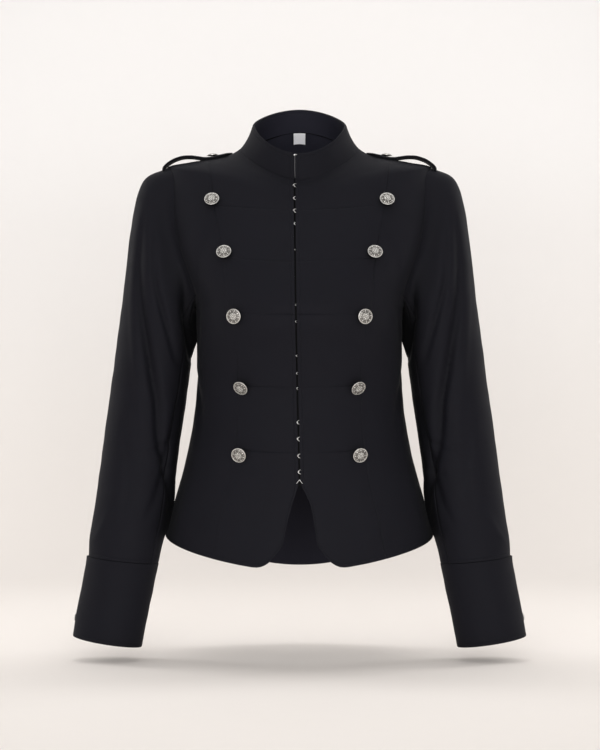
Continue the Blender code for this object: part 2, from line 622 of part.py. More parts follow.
def button_mesh(name, size, shank, sides=10):
    """A domed metal button on a shank, turned about its own Z axis."""
    form = bmesh.new()
    rings = []
    for radius, height in button_profile(size, shank):
        if radius == 0:
            rings.append([form.verts.new((0, 0, height * METRES))])
            continue
        rings.append([form.verts.new((radius * METRES * math.cos(2 * math.pi * i / sides),
                                      radius * METRES * math.sin(2 * math.pi * i / sides),
                                      height * METRES)) for i in range(sides)])
    for lower, upper in zip(rings, rings[1:]):
        for i in range(sides):
            j = (i + 1) % sides
            corners = [lower[i % len(lower)], lower[j % len(lower)], upper[j % len(upper)], upper[i % len(upper)]]
            form.faces.new(list(dict.fromkeys(corners)))
    bmesh.ops.recalc_face_normals(form, faces=form.faces)
    mesh = bpy.data.meshes.new(name)
    form.to_mesh(mesh)
    form.free()
    mesh.shade_smooth()
    mesh.set_sharp_from_angle(angle=math.radians(35))
    return mesh


def place_button(name, mesh, point, normal, droop=0.0, aside=0.0, clear=SEAM_GAP):
    """Stands a button on the cloth, its shank's end just clear, tipped downwards by its droop."""
    normal = Vector(normal).normalized()
    level = Vector((0, 0, 1)).cross(normal)
    level.normalize()
    tipped = Matrix.Rotation(math.radians(droop), 3, level) @ normal
    tipped = Matrix.Rotation(math.radians(aside), 3, Vector((0, 0, 1))) @ tipped
    button = bpy.data.objects.new(name, mesh)
    button.rotation_mode = "QUATERNION"
    button.rotation_quaternion = tipped.to_track_quat("Z", "Y")
    lift = clear + 2.0 * math.sin(math.radians(math.hypot(droop, aside)))
    button.location = (Vector(point) + normal * lift) * METRES
    bpy.context.scene.collection.objects.link(button)


def make_buttons(material):
    large, small = button_mesh("button", FRONT_BUTTON, 3.9), button_mesh("small_button", SMALL_BUTTON, 1.2)
    for mesh in (large, small):
        mesh.materials.append(material)
    under, top = strap_rows()
    strap_row = 7
    strap_normal = unit(np.cross(top[strap_row - 1, 2] - top[strap_row + 1, 2], top[strap_row, 4] - top[strap_row, 0]))
    strap_normal = strap_normal * np.sign(strap_normal[2])
    for side, word in ((1, "left"), (-1, "right")):
        for row, (x, z, droop, aside) in enumerate(FRONT_BUTTONS, 1):
            up = up_at(z, lambda u, x=x: turn_at(u, x))
            turn = turn_at(up, x)
            point, normal = body_point(up, turn), body_normal(up, turn)
            place_button(f"button_{row}_{word}", large, mirror_x(point, side), mirror_x(normal, side), droop,
                         aside * side, SEAM_GAP + 0.15)
        place_button(f"button_strap_{word}", small, mirror_x(top[strap_row, 2], side),
                     mirror_x(strap_normal, side))
        lifted = CUFF_STEP + CLOTH_WALL + SEAM_GAP + 0.2
        down, around = 474.0, 200.0
        outer, inner = sleeve_wall_points(np.float64(down), np.float64(around), CLOTH_WALL, lifted)
        normal = unit(outer - inner)
        place_button(f"button_cuff_{word}", small, mirror_x(outer, side), mirror_x(normal, side))


def main():
    for old in list(bpy.data.objects):
        bpy.data.objects.remove(old)
    cloth = new_material("black_twill", BLACK_TWILL, 0.85)
    metal = new_material("old_silver", OLD_SILVER, 0.38, 0.9)
    label = new_material("label_satin", LABEL_WHITE, 0.6)
    make_fronts(cloth)
    make_sides(cloth)
    make_back(cloth)
    make_collar(cloth)
    make_placket(cloth)
    make_label(label)
    make_sleeves(cloth)
    make_cuffs(cloth)
    make_straps(cloth)
    make_buttons(metal)


main()
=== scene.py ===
import functools
import math

import bmesh
import bpy
import numpy as np
from mathutils import Matrix, Vector


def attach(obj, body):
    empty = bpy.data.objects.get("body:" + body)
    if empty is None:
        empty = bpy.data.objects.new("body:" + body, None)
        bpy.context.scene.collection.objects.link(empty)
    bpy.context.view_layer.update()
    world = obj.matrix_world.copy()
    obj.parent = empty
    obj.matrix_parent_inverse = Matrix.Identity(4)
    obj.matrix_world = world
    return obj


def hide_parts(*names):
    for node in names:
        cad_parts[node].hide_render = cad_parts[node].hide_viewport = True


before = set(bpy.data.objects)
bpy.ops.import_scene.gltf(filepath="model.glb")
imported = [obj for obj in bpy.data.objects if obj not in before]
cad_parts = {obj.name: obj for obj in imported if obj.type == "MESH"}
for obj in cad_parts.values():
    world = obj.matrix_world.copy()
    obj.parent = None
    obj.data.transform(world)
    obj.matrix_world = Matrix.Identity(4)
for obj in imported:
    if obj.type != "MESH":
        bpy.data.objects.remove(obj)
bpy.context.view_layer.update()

# The jacket's dressing: cloth shells on its solids, buttons, hooks, stitches, materials, floor and light.
# Cloth sizes are in millimetres and degrees, as in the solids; everything in the scene is in metres.

millimetre = 0.001

# the camera is level and straight in front
view = {"distance": 2.53, "height": -0.2943, "sideways": 0.0007, "lens": 90, "sensor": 36}

bpy.ops.object.select_all(action="DESELECT")
bpy.ops.object.camera_add(location=(view["sideways"], -view["distance"], view["height"]),
                          rotation=(math.radians(90), 0, 0))
camera = bpy.context.object
camera.name = "camera"
camera.data.lens = view["lens"]
camera.data.sensor_width = view["sensor"]
camera.data.clip_start = 0.05
camera.data.dof.use_dof = False
bpy.context.scene.camera = camera
print("camera placed")

# up, side height, half width, middle y, front height and depth, back height and depth,
# squareness in front and behind, how the edge falls in front and behind, dip beside the neck
bodyRings = (
    (0, -508, 180.5, 0, -545, 135.0, -563, 126, 2.10, 2.10, 1.20, 1.25, 0),
    (45, -463, 168.0, 0, -483, 129.0, -495, 116, 2.10, 2.10, 1.20, 1.25, 0),
    (90, -418, 155.5, 0, -424, 121.0, -430, 104, 2.10, 2.10, 1.30, 1.30, 0),
    (135, -373, 145.5, 0, -373, 113.0, -373, 92, 2.10, 2.10, 1.40, 1.40, 0),
    (175, -332, 139.7, 0, -332, 109.5, -332, 85, 2.10, 2.10, 1.40, 1.40, 0),
    (213, -294, 138.0, 0, -294, 114.0, -294, 85, 2.15, 2.15, 1.40, 1.40, 0),
    (250, -258, 138.0, 0, -258, 123.0, -258, 90, 2.20, 2.20, 1.40, 1.40, 0),
    (285, -224, 138.5, 0, -224, 132.5, -224, 97, 2.25, 2.25, 1.40, 1.40, 0),
    (303, -206, 139.0, 0, -208, 132.0, -204, 100, 2.28, 2.30, 1.40, 1.40, 0),
    (320, -190, 143.0, 0, -195, 129.0, -186, 103, 2.32, 2.40, 1.40, 1.40, 0),
    (353, -157, 156.0, 1, -168, 120.5, -150, 106, 2.40, 2.55, 1.40, 1.40, 0),
    (385, -125, 168.0, 2, -143, 110.0, -115, 107, 2.48, 2.60, 1.40, 1.50, 0),
    (423, -87, 176.5, 3, -113, 96.0, -76, 105, 2.48, 2.50, 1.40, 1.80, 2),
    (460, -50, 180.0, 4, -84, 81.0, -38, 99, 2.35, 2.30, 1.40, 2.20, 6),
    (496, -14.7, 179.0, 5, -60, 69.0, -2, 87, 2.05, 1.95, 1.35, 2.80, 12),
    (527, -6.9, 149.0, 6.5, -51, 66.5, 14, 78, 1.85, 1.75, 1.40, 2.80, 12),
    (556, -1.8, 120.0, 8, -45, 66.0, 27, 70, 1.80, 1.80, 1.45, 2.60, 8),
    (580, 3.5, 95.5, 9.5, -40, 63.0, 36.5, 63, 1.85, 1.90, 1.50, 2.00, 3),
    (598, 12.5, 80.5, 10, -36, 62.0, 42, 60, 2.00, 2.00, 1.25, 1.50, 0),
    (616, 28.0, 69.3, 8, -18.5, 59.5, 58, 57.5, 2.00, 2.00, 1.20, 1.20, 0),
    (634, 45.0, 62.6, 6, -0.5, 56.0, 72.5, 56, 2.00, 2.00, 1.20, 1.20, 0),
)
# up, princess seam's distance from the middle in front, and behind
princessSeam = (
    (0, 113, 92), (45, 101, 80), (90, 89, 70), (135, 82.5, 62), (175, 80.5, 58), (213, 80.5, 60),
    (250, 83, 65), (285, 89, 72), (312, 94.3, 78), (353, 97, 86), (385, 99.5, 92), (423, 107, 99),
    (467, 114.5, 106), (510, 119, 114), (556, 120, 120), (598, 120, 120),
)
# angle round the armhole, its opening in front of the side line, and behind it
armholeShape = (
    (0, 0, 0), (20, 12.5, 11.5), (35, 18.5, 17.5), (50, 20.5, 20), (70, 19.3, 20), (90, 16.6, 18),
    (110, 14.2, 15.5), (130, 12.2, 13), (150, 9.2, 9.8), (165, 5.5, 6), (180, 0, 0),
)
# up, where the closure runs, and each front edge's distance from it, left and right
closureLine = (
    (0, -0.5, 29.0, 26.0), (20, -0.5, 24.0, 21.5), (40, -0.5, 20.0, 16.5), (60, -0.4, 15.0, 9.5),
    (74, -0.2, 7.0, 4.0), (84, 0.0, 1.1, 1.1), (115, -0.8, 1.1, 1.1), (196, -2.8, 1.1, 1.1),
    (294, -4.6, 1.1, 1.1), (380, -5.6, 1.1, 1.1), (468, -6.3, 1.2, 1.2), (598, -6.6, 0.9, 0.9),
    (616, -6.7, 0.7, 0.7), (634, -6.9, 1.0, 1.0),
)
# down, outermost x and z, innermost x and z, middle y, half depth
sleeveRings = (
    (0, 231.5, -130, 140.8, -236, 1, 53), (60, 240.0, -203, 143.8, -262, 2, 51),
    (115, 247.5, -260, 148.5, -296, 2, 49), (170, 255.0, -318, 153.5, -334, 0, 47),
    (225, 262.5, -376, 160.3, -381, -5, 45), (280, 269.3, -430, 167.2, -436, -12, 43),
    (330, 275.3, -480, 174.8, -488, -20, 41), (370, 280.5, -518, 184.5, -528, -27, 39),
    (388, 281.0, -535, 188.0, -545, -30, 38), (420, 285.5, -566, 194.5, -577, -34, 37),
    (460, 292.0, -604, 202.5, -616, -40, 35.5), (498, 297.5, -640, 209.0, -654, -46, 34),
)
# height of each seam between the front's bands, from the peplum up, and how far it rises to the princess seam
bandSeams = ((-394, 3.0), (-310.8, 3.0), (-216.6, 2.0), (-147.2, 5.5), (-78.0, 7.0))
levels = {"armpit": 303, "shoulderTip": 496, "princessTop": 553, "neck": 598, "collarTop": 634}
# the sleeve's cap: how hard it is pulled at both ends, low and high on the armhole, and which way it sets off
capPull = {"long": 100, "startLow": 26, "startHigh": 98, "endLow": 40, "endHigh": 290, "way": (0.91, 0.0, -0.415)}
linePlaces = np.linspace(0, levels["collarTop"], 400)
searchSteps = 30
# a trough is steeper on one side than on the other; stretch is in millimetres to a degree
crease = {"steep": 1.4, "gentle": 0.72, "bodyStretch": 2.3, "sleeveStretch": 0.85, "bodyWaves": 0.10,
          "sleeveWaves": 0.13}
# creases: the line each follows, its depth and half breadth, and how far it strays on the right-hand side
sleeveCreases = (
    (((-40, 136), (27, 121.5), (44, 116), (72, 106), (97, 97), (140, 83), (170, 73), (225, 60), (285, 30),
      (325, 10)), 7.4, 6.4, 1),
    (((-30, 148), (40, 138), (110, 118), (170, 102), (225, 84), (280, 62)), -1.6, 7.0, -2),
    (((-48, 114), (-15, 105), (16, 90), (73, 64), (105, 52)), 3.8, 5.5, -3),
    (((-84, 60), (-40, 44), (-9, 34), (42, 20), (90, 8)), 8.6, 13.0, 3),
    (((-92, 12), (-55, 14), (-10, 10), (30, 2)), 4.5, 11.0, -2),
    (((-72, 356), (-20, 358), (40, 358), (78, 358)), -6.0, 12.0, 2),
    (((150, 28), (225, 34), (285, 44), (340, 62)), 3.4, 7.0, 5),
    (((240, 205), (265, 235), (280, 270), (286, 305)), 3.6, 8.0, -6),
    (((275, 330), (290, 300), (300, 262), (306, 225)), 3.0, 7.0, 6),
    (((-20, 235), (60, 228), (140, 240), (200, 262)), 4.2, 8.0, 5),
    (((-60, 268), (0, 280), (60, 296), (110, 318)), 3.6, 8.0, -4),
    (((190, 118), (240, 104), (300, 92), (345, 95)), 2.0, 6.5, 6),
    (((215, 20), (235, 60), (250, 100)), 1.9, 5.0, -5),
    (((255, 8), (268, 45), (276, 88)), 1.7, 4.6, 4),
    (((318, 118), (345, 128), (372, 150)), -1.2, 7.0, 6),
    (((320, 250), (345, 228), (370, 215)), 1.8, 6.0, 5),
    (((278, 358), (310, 356), (352, 358)), -3.2, 14.0, 2),
)
bodyCreases = (
    (((112, 66), (150, 70), (190, 78), (225, 92)), 3.4, 11.0, 2),
    (((236, 78), (262, 74), (292, 70), (318, 66)), 2.2, 9.0, 3),
    (((60, 112), (110, 118), (160, 128), (205, 142)), 2.6, 13.0, -3),
    (((95, 150), (150, 146), (205, 150)), 2.0, 13.0, 3),
    (((4, 38), (35, 40), (70, 36), (100, 30)), -2.4, 14.0, 2),
    (((2, 74), (40, 72), (85, 70)), -2.6, 15.0, -3),
    (((2, 128), (40, 130), (90, 134)), -3.0, 16.0, 3),
    (((310, 66), (345, 60), (385, 55), (420, 52)), 1.3, 7.0, 2),
    (((128, 38), (150, 44), (176, 46)), 0.9, 6.0, 3),
    (((150, 84), (178, 72), (200, 60)), 1.1, 6.0, -3),
    (((330, 118), (380, 124), (430, 132)), 1.6, 9.0, 4),
    (((232, 74), (262, 66), (290, 62)), 1.0, 7.0, -2),
    (((508, 96), (520, 118), (540, 140)), 1.0, 8.0, 3),
)


@functools.lru_cache(maxsize=None)
def tableCurves(table):
    rows = np.array(table, float)
    known, values = rows[:, 0], rows[:, 1:]
    step = np.diff(known)[:, None]
    slope = np.diff(values, axis=0) / step
    before, after = 2 * step[1:] + step[:-1], step[1:] + 2 * step[:-1]
    same = slope[:-1] * slope[1:] > 0
    earlier, later = np.where(same, slope[:-1], 1), np.where(same, slope[1:], 1)
    inner = np.where(same, (before + after) / (before / earlier + after / later), 0)
    return known, values, np.concatenate([slope[:1], inner, slope[-1:]])


# a cubic curve from first to last, with its slopes at both ends, at the share t
def cubic(t, first, leaving, last, arriving):
    return ((2 * t**3 - 3 * t**2 + 1) * first + (t**3 - 2 * t**2 + t) * leaving
            + (3 * t**2 - 2 * t**3) * last + (t**3 - t**2) * arriving)


# columns after the first, along smooth curves through a table's rows
def readTable(table, at):
    known, values, slopes = tableCurves(table)
    at = np.clip(np.asarray(at, float), known[0], known[-1])
    i = np.clip(np.searchsorted(known, at, side="right") - 1, 0, len(known) - 2)
    step = (known[i + 1] - known[i])[..., None]
    t = (at - known[i])[..., None] / step
    return cubic(t, values[i], step * slopes[i], values[i + 1], step * slopes[i + 1])


def unit(vectors):
    return vectors / np.linalg.norm(vectors, axis=-1, keepdims=True)


def creaseDepth(creases, along, turn, scale, side):
    along, turn = np.broadcast_arrays(np.asarray(along, float), np.asarray(turn, float))
    sunk = np.zeros(along.shape)
    for line, depth, breadth, stray in creases:
        middle = readTable(line, along)[..., 0] + (stray if side < 0 else 0)
        part = np.clip((along - line[0][0]) / (line[-1][0] - line[0][0]), 0, 1)
        off = ((turn - middle + 180) % 360 - 180) * scale
        off = off * np.where(off > 0, crease["steep"], crease["gentle"])
        sunk = sunk + depth * np.sin(math.pi * part) ** 0.7 * np.exp(-((off / breadth) ** 2))
    return sunk


# slight unevenness of pressed cloth, the same each run
def softWaves(points, size):
    chance = np.random.default_rng(7)
    wave = np.zeros(points.shape[:-1])
    for length in (70, 46, 31, 22):
        for _ in range(3):
            way = unit(chance.normal(size=3))
            wave += length / 70 * np.sin(points @ way * 2 * math.pi / length + chance.uniform(0, 6.3))
    return wave * size


def bodyBase(up, turn):
    up, turn = np.broadcast_arrays(np.asarray(up, float), np.asarray(turn, float))
    (sideZ, halfWidth, midY, frontZ, frontDepth, backZ, backDepth, frontSquare, backSquare, frontFall,
     backFall, backDip) = np.moveaxis(readTable(bodyRings, up), -1, 0)
    c, s = np.cos(np.radians(turn)), np.sin(np.radians(turn))
    front = c > 0
    depth, power = np.where(front, frontDepth, backDepth), np.where(front, frontSquare, backSquare)
    reach = (np.abs(c / depth) ** power + np.abs(s / halfWidth) ** power) ** (-1 / power)
    lift = np.where(front, frontZ, backZ) - sideZ
    z = sideZ + lift * np.abs(c) ** np.where(front, frontFall, backFall)
    z = z - np.where(front, 0, backDip) * 4 * c**2 * (1 - c**2)
    return np.stack([reach * s, midY - reach * c, z], -1)


def bodyNormal(up, turn):
    along = bodyBase(up + 0.5, turn) - bodyBase(up - 0.5, turn)
    across = bodyBase(up, turn + 0.15) - bodyBase(up, turn - 0.15)
    return unit(np.cross(across, along))


def bodyPoint(up, turn, out=0.0):
    up, turn = np.broadcast_arrays(np.asarray(up, float), np.asarray(turn, float))
    side = 1 if np.mean((turn + 180) % 360 - 180) >= 0 else -1
    base = bodyBase(up, turn)
    sunk = creaseDepth(bodyCreases, up, np.minimum(np.abs(turn), 360 - np.abs(turn)),
                       crease["bodyStretch"], side)
    sunk = sunk + softWaves(base, crease["bodyWaves"])
    return base + bodyNormal(up, turn) * np.expand_dims(out - sunk, -1)


# halves the way between low and high until isShort changes there
def search(isShort, low, high):
    for _ in range(searchSteps):
        half = (low + high) / 2
        short = isShort(half)
        low, high = np.where(short, half, low), np.where(short, high, half)
    return (low + high) / 2


def turnAt(up, x, low=0.0, high=90.0):
    up, x = np.broadcast_arrays(np.asarray(up, float), np.asarray(x, float))
    low, high = np.full(up.shape, low, float), np.full(up.shape, high, float)
    rising = bodyBase(up, high)[..., 0] > bodyBase(up, low)[..., 0]
    return search(lambda turn: (bodyBase(up, turn)[..., 0] < x) == rising, low, high)


def upAt(z, turnOf, low=0.0, high=598.0):
    z = np.asarray(z, float)
    return search(lambda up: bodyBase(up, turnOf(up))[..., 2] < z, np.full(z.shape, low), np.full(z.shape, high))


@functools.lru_cache(maxsize=None)
def closureTurns(side):
    middle, left, right = np.moveaxis(readTable(closureLine, linePlaces), -1, 0)
    return turnAt(linePlaces, side * middle + (left if side > 0 else right), -60.0, 60.0)


def closureTurn(up, side):
    return np.interp(up, linePlaces, closureTurns(side))


@functools.lru_cache(maxsize=None)
def princessTurns(back):
    x = readTable(princessSeam, linePlaces)[..., 1 if back else 0]
    return turnAt(linePlaces, x, 180.0 if back else 0.0, 90.0)


def princessTurn(up, back=False):
    return np.interp(up, linePlaces, princessTurns(back))


# outer edge of a side panel: the side seam, the armhole and then the shoulder seam
def sideTurn(up, back=False):
    part = np.clip((np.asarray(up, float) - levels["armpit"]) / (levels["shoulderTip"] - levels["armpit"]), 0, 1)
    opening = readTable(armholeShape, np.degrees(np.arccos(1 - 2 * part)))[..., 1 if back else 0]
    return 90 + opening if back else 90 - opening


def sleeveFree(down, around):
    down, around = np.broadcast_arrays(np.asarray(down, float), np.asarray(around, float))
    outerX, outerZ, innerX, innerZ, midY, halfDepth = np.moveaxis(readTable(sleeveRings, down), -1, 0)
    c, s = np.cos(np.radians(around)), np.sin(np.radians(around))
    return np.stack([(outerX + innerX) / 2 - c * (outerX - innerX) / 2, midY - s * halfDepth,
                     (outerZ + innerZ) / 2 - c * (outerZ - innerZ) / 2], -1)


def armholePlace(around):
    around = np.asarray(around, float) % 360
    folded = np.where(around > 180, 360 - around, around)
    up = levels["armpit"] + (levels["shoulderTip"] - levels["armpit"]) * (1 - np.cos(np.radians(folded))) / 2
    front, back = np.moveaxis(readTable(armholeShape, folded), -1, 0)
    return up, np.where(around > 180, 90 + back, 90 - front)


def sleeveStart(around):
    up, turn = armholePlace(around)
    edge, normal = bodyBase(up, turn), bodyNormal(up, turn)
    ahead, behind = bodyBase(*armholePlace(around + 1)), bodyBase(*armholePlace(around - 1))
    inward = unit(np.cross(normal, unit(ahead - behind)))
    middle = bodyBase(np.full(up.shape, 400.0), 90.0)
    inward = inward * np.sign(np.sum(inward * (middle - edge), -1, keepdims=True))
    return edge + inward * 0.4, inward, normal


def sleeveBase(down, around):
    down, around = np.broadcast_arrays(np.asarray(down, float), np.asarray(around, float))
    start, inward, _ = sleeveStart(around)
    end = sleeveFree(np.zeros(down.shape), around)
    leaving = (sleeveFree(np.full(down.shape, 2.0), around) - end) / 2
    height = ((1 - np.cos(np.radians(around))) / 2) ** 1.4
    way = unit(inward + (np.array(capPull["way"]) - inward) * (height**1.5)[..., None])
    first = (capPull["startLow"] + (capPull["startHigh"] - capPull["startLow"]) * height)[..., None] * way
    last = (capPull["endLow"] + (capPull["endHigh"] - capPull["endLow"]) * height)[..., None] * leaving
    t = np.clip(down / capPull["long"] + 1, 0, 1)[..., None]
    cap = cubic(t, start, first, end, last)
    return np.where((down < 0)[..., None], cap, sleeveFree(np.maximum(down, 0), around))


def sleevePoint(down, around, out=0.0, side=1):
    down, around = np.broadcast_arrays(np.asarray(down, float), np.asarray(around, float))
    along = sleeveBase(down + 0.5, around) - sleeveBase(np.maximum(down - 0.5, -capPull["long"]), around)
    across = sleeveBase(down, around + 0.5) - sleeveBase(down, around - 0.5)
    blend = np.clip((down + capPull["long"]) / 12, 0, 1)[..., None]
    normal = unit(sleeveStart(around)[2] * (1 - blend) + unit(np.cross(along, across)) * blend)
    base = sleeveBase(down, around)
    sunk = creaseDepth(sleeveCreases, down, around, crease["sleeveStretch"], side)
    sunk = sunk + softWaves(base * side, crease["sleeveWaves"])
    return base + normal * np.expand_dims(out - sunk, -1), normal


def addObject(name, data):
    piece = bpy.data.objects.new(name, data)
    bpy.context.scene.collection.objects.link(piece)
    return piece


def selectOnly(*pieces):
    bpy.ops.object.select_all(action="DESELECT")
    for piece in pieces:
        piece.select_set(True)
    bpy.context.view_layer.objects.active = pieces[0]


# reverse is how much paler the cloth's inside is drawn: painted light
sheetLook = {"cell": 5.0, "sleeveCell": 3.1, "nearEdge": (0.0, 0.7, 1.7, 3.2), "wall": 1.7, "roll": 0.8,
             "rollWidth": 2.2, "finished": (0.35, 1), "far": 90, "reverse": 2.5, "samples": 300}


# how far along a path, or along a grid's rows or columns, each point lies
def walkedTo(points, axis=0):
    steps = np.linalg.norm(np.diff(points, axis=axis), axis=-1)
    return np.insert(np.cumsum(steps, axis), 0, 0, axis)


# shares of a path at which a sheet gets a row: even, and closer together at both ends
def edgeShares(path, cell):
    share = np.linspace(0, 1, sheetLook["samples"])
    walked = walkedTo(path(share))
    length = walked[-1]
    near = np.array([d for d in sheetLook["nearEdge"] if d < length / 3])
    count = max(2, int(round((length - 2 * near[-1]) / cell)))
    places = np.concatenate([near, np.linspace(near[-1], length - near[-1], count + 1)[1:-1], length - near[::-1]])
    return np.interp(places, walked, share)


def rollDepth(distances, rolled):
    sunk = 0
    for distance, amount in zip(distances, rolled):
        near = np.clip(1 - distance / sheetLook["rollWidth"], 0, 1)
        sunk = np.maximum(sunk, amount * sheetLook["roll"] * near**2)
    return sunk


def makeSheet(name, node, points, normals, rolled, look, wall=None, mirror=1):
    wall = wall or sheetLook["wall"]
    across, along = walkedTo(points, 1), walkedTo(points, 0)
    distances = across, across[:, -1:] - across, along, along[-1:] - along    # from the left, right, low and high edge
    # an edge rolls in more at some places than at others
    uneven = 0.62 + 0.38 * np.sin(points @ np.array([0.047, 0.031, 0.039]) + 2 * np.sin(points[..., 2] * 0.019))
    points = points - normals * (rollDepth(distances, rolled) * uneven)[..., None]
    points = points * np.array([mirror, 1, 1])
    across, along = walkedTo(points, 1), walkedTo(points, 0)
    rows, columns = points.shape[:2]
    corners = np.arange(rows * columns).reshape(rows, columns)
    quads = np.stack([corners[:-1, :-1], corners[:-1, 1:], corners[1:, 1:], corners[1:, :-1]], -1).reshape(-1, 4)
    if mirror < 0:
        quads = quads[:, ::-1]
    mesh = bpy.data.meshes.new(name)
    mesh.from_pydata((points.reshape(-1, 3) * millimetre).tolist(), [], quads.tolist())
    cut = mesh.uv_layers.new(name="cut")
    flat = np.stack([across, along], -1).reshape(-1, 2) * millimetre
    order = np.empty(len(mesh.loops), np.int32)
    mesh.loops.foreach_get("vertex_index", order)
    cut.data.foreach_set("uv", flat[order].ravel().astype(np.float32))
    # how far each point lies from the nearest finished edge, and how far along it
    least, most = sheetLook["finished"]
    finished = np.stack([d if least < amount < most else d * 0 + sheetLook["far"]
                         for d, amount in zip(distances, rolled)])
    nearest = finished.argmin(0)
    for label, values in (("edge", finished.min(0)), ("run", np.where(nearest < 2, along, across))):
        mark = mesh.attributes.new(label, "FLOAT", "POINT")
        mark.data.foreach_set("value", values.ravel().astype(np.float32))
    mesh.materials.append(look)
    # the inside of the black cloth is drawn in its paler copy, which is painted light
    mesh.materials.append(insidePaintedLightLook if look is twillLook else look)
    piece = addObject(name, mesh)
    faceWay = np.sum(np.cross(points[0, 1] - points[0, 0], points[1, 0] - points[0, 0]) * normals[0, 0]
                     * np.array([mirror, 1, 1]))
    if (faceWay < 0) != (mirror < 0):
        mesh.flip_normals()
    mesh.shade_smooth()
    selectOnly(piece)
    thick = piece.modifiers.new("thickness", "SOLIDIFY")
    thick.thickness, thick.offset, thick.use_even_offset = wall * millimetre, -1, True
    thick.material_offset = 1
    bpy.ops.object.modifier_apply(modifier="thickness")
    bpy.ops.object.shade_smooth_by_angle(angle=math.radians(50))
    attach(piece, "root")
    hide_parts(node)


def newLook(name, base, rough, metal=0.0):
    look = bpy.data.materials.new(name)
    look.use_nodes = True
    shader = look.node_tree.nodes["Principled BSDF"]
    setInputs(look, shader, {"Base Color": (*base, 1), "Roughness": rough, "Metallic": metal})
    return look, shader


# an input is given as a value or as another node's output
def setInputs(look, node, inputs):
    for name, value in inputs.items():
        if isinstance(value, bpy.types.NodeSocket):
            look.node_tree.links.new(value, node.inputs[name])
        else:
            node.inputs[name].default_value = value


# adds a node and gives back the output that is used
def addNode(look, kind, output, inputs=None, **settings):
    node = look.node_tree.nodes.new("ShaderNode" + kind)
    for name, value in settings.items():
        setattr(node, name, value)
    setInputs(look, node, inputs or {})
    return node.outputs[output]


def addMix(look, factor, first, second):
    return addNode(look, "Mix", "Result", {"Factor": factor, "A": first, "B": second}, data_type="RGBA")


def addRamp(look, value, start, end, kind="LINEAR"):
    return addNode(look, "MapRange", "Result", {"Value": value, "From Min": start[0], "From Max": start[1],
                                                "To Min": end[0], "To Max": end[1]}, interpolation_type=kind)


waveLength = 0.314    # what a wave texture of scale 1 repeats at, in metres
twill = {"dark": (0.0041, 0.0040, 0.0064), "light": (0.0071, 0.0070, 0.0108), "rough": (0.66, 0.80),
         "period": 0.00085, "relief": 0.00012, "angle": 27, "sheen": 0.02, "specular": 0.12,
         "worn": (0.012, 0.012, 0.015), "edgeWear": 0.15, "shadeReach": 0.05, "shadeFrom": (0.35, 0.9), "shade": 0.1,
         "stitchFrom": 4.6, "stitchHalf": 0.36, "stitchLong": 2.7, "stitchShare": 0.74, "furrowHalf": 1.1}


# shade scales the cloth's colour; the inside copy uses it for painted light and the placket's copy for painted shade
def makeTwill(name, shade=1.0):
    look, shader = newLook(name, twill["dark"], 0.8)
    add = functools.partial(addNode, look)

    def step(kind, *values):
        return add("Math", "Value", dict(enumerate(values)), operation=kind)

    # twill lines run slanting over the cut of each panel
    cut = add("UVMap", "UV", uv_map="cut")
    turned = add("Mapping", "Vector", {"Vector": cut, "Rotation": (0, 0, math.radians(twill["angle"]))})
    lines = add("TexWave", "Fac", {"Vector": turned, "Scale": waveLength / twill["period"], "Distortion": 0.6,
                                   "Detail": 1.0})
    place = add("TexCoord", "Object")
    cloud = add("TexNoise", "Fac", {"Vector": place, "Scale": 16, "Detail": 5, "Roughness": 0.6})
    fluff = add("TexNoise", "Fac", {"Vector": place, "Scale": 900, "Detail": 3})
    colour = addMix(look, step("MULTIPLY_ADD", lines, 0.45, step("MULTIPLY", cloud, 0.6)),
                    (*[c * shade for c in twill["dark"]], 1), (*[c * shade for c in twill["light"]], 1))
    # finished edges are rubbed a little paler
    rim = add("Attribute", "Fac", attribute_name="edge")
    rubbed = addMix(look, addRamp(look, rim, (2.6, 0.3), (0, twill["edgeWear"])), colour, (*twill["worn"], 1))
    # painted shade: the cloth's colour is darkened where other cloth or a button lies close
    near = add("AmbientOcclusion", "AO", {"Distance": twill["shadeReach"]}, samples=4)
    dim = addRamp(look, near, twill["shadeFrom"], (twill["shade"], 1))
    dimmed = add("VectorMath", "Vector", {0: rubbed, "Scale": dim}, operation="SCALE")
    rough = addRamp(look, cloud, (0, 1), twill["rough"])
    weave = add("Bump", "Normal", {"Height": lines, "Strength": 0.55, "Distance": twill["relief"]})
    nap = add("Bump", "Normal", {"Height": fluff, "Normal": weave, "Strength": 0.3, "Distance": 0.0002})
    # a row of stitches runs beside each finished edge, sunk in a shallow furrow
    off = step("ABSOLUTE", step("SUBTRACT", rim, twill["stitchFrom"]))
    run = add("Attribute", "Fac", attribute_name="run")
    phase = step("FRACT", step("DIVIDE", run, twill["stitchLong"]))
    dash = step("LESS_THAN", step("ABSOLUTE", step("SUBTRACT", phase, 0.5)), twill["stitchShare"] / 2)
    thread = step("MULTIPLY", step("LESS_THAN", off, twill["stitchHalf"]), dash)
    furrow = step("SUBTRACT", 1.0, step("MINIMUM", step("DIVIDE", off, twill["furrowHalf"]), 1.0))
    stitched = add("Bump", "Normal", {"Height": step("SUBTRACT", thread, furrow), "Normal": nap, "Strength": 0.9,
                                      "Distance": 0.00035})
    setInputs(look, shader, {"Base Color": dimmed, "Roughness": rough, "Normal": stitched,
                             "Specular IOR Level": twill["specular"], "Sheen Weight": twill["sheen"],
                             "Sheen Roughness": 0.45, "Sheen Tint": (0.8, 0.82, 0.9, 1)})
    return look


silver = {"bright": (0.80, 0.785, 0.75), "dark": (0.16, 0.152, 0.14), "rough": (0.32, 0.52), "stain": 0.5}
steel = {"bright": (0.92, 0.92, 0.91), "dark": (0.45, 0.45, 0.44), "rough": (0.28, 0.42), "stain": 0.2}


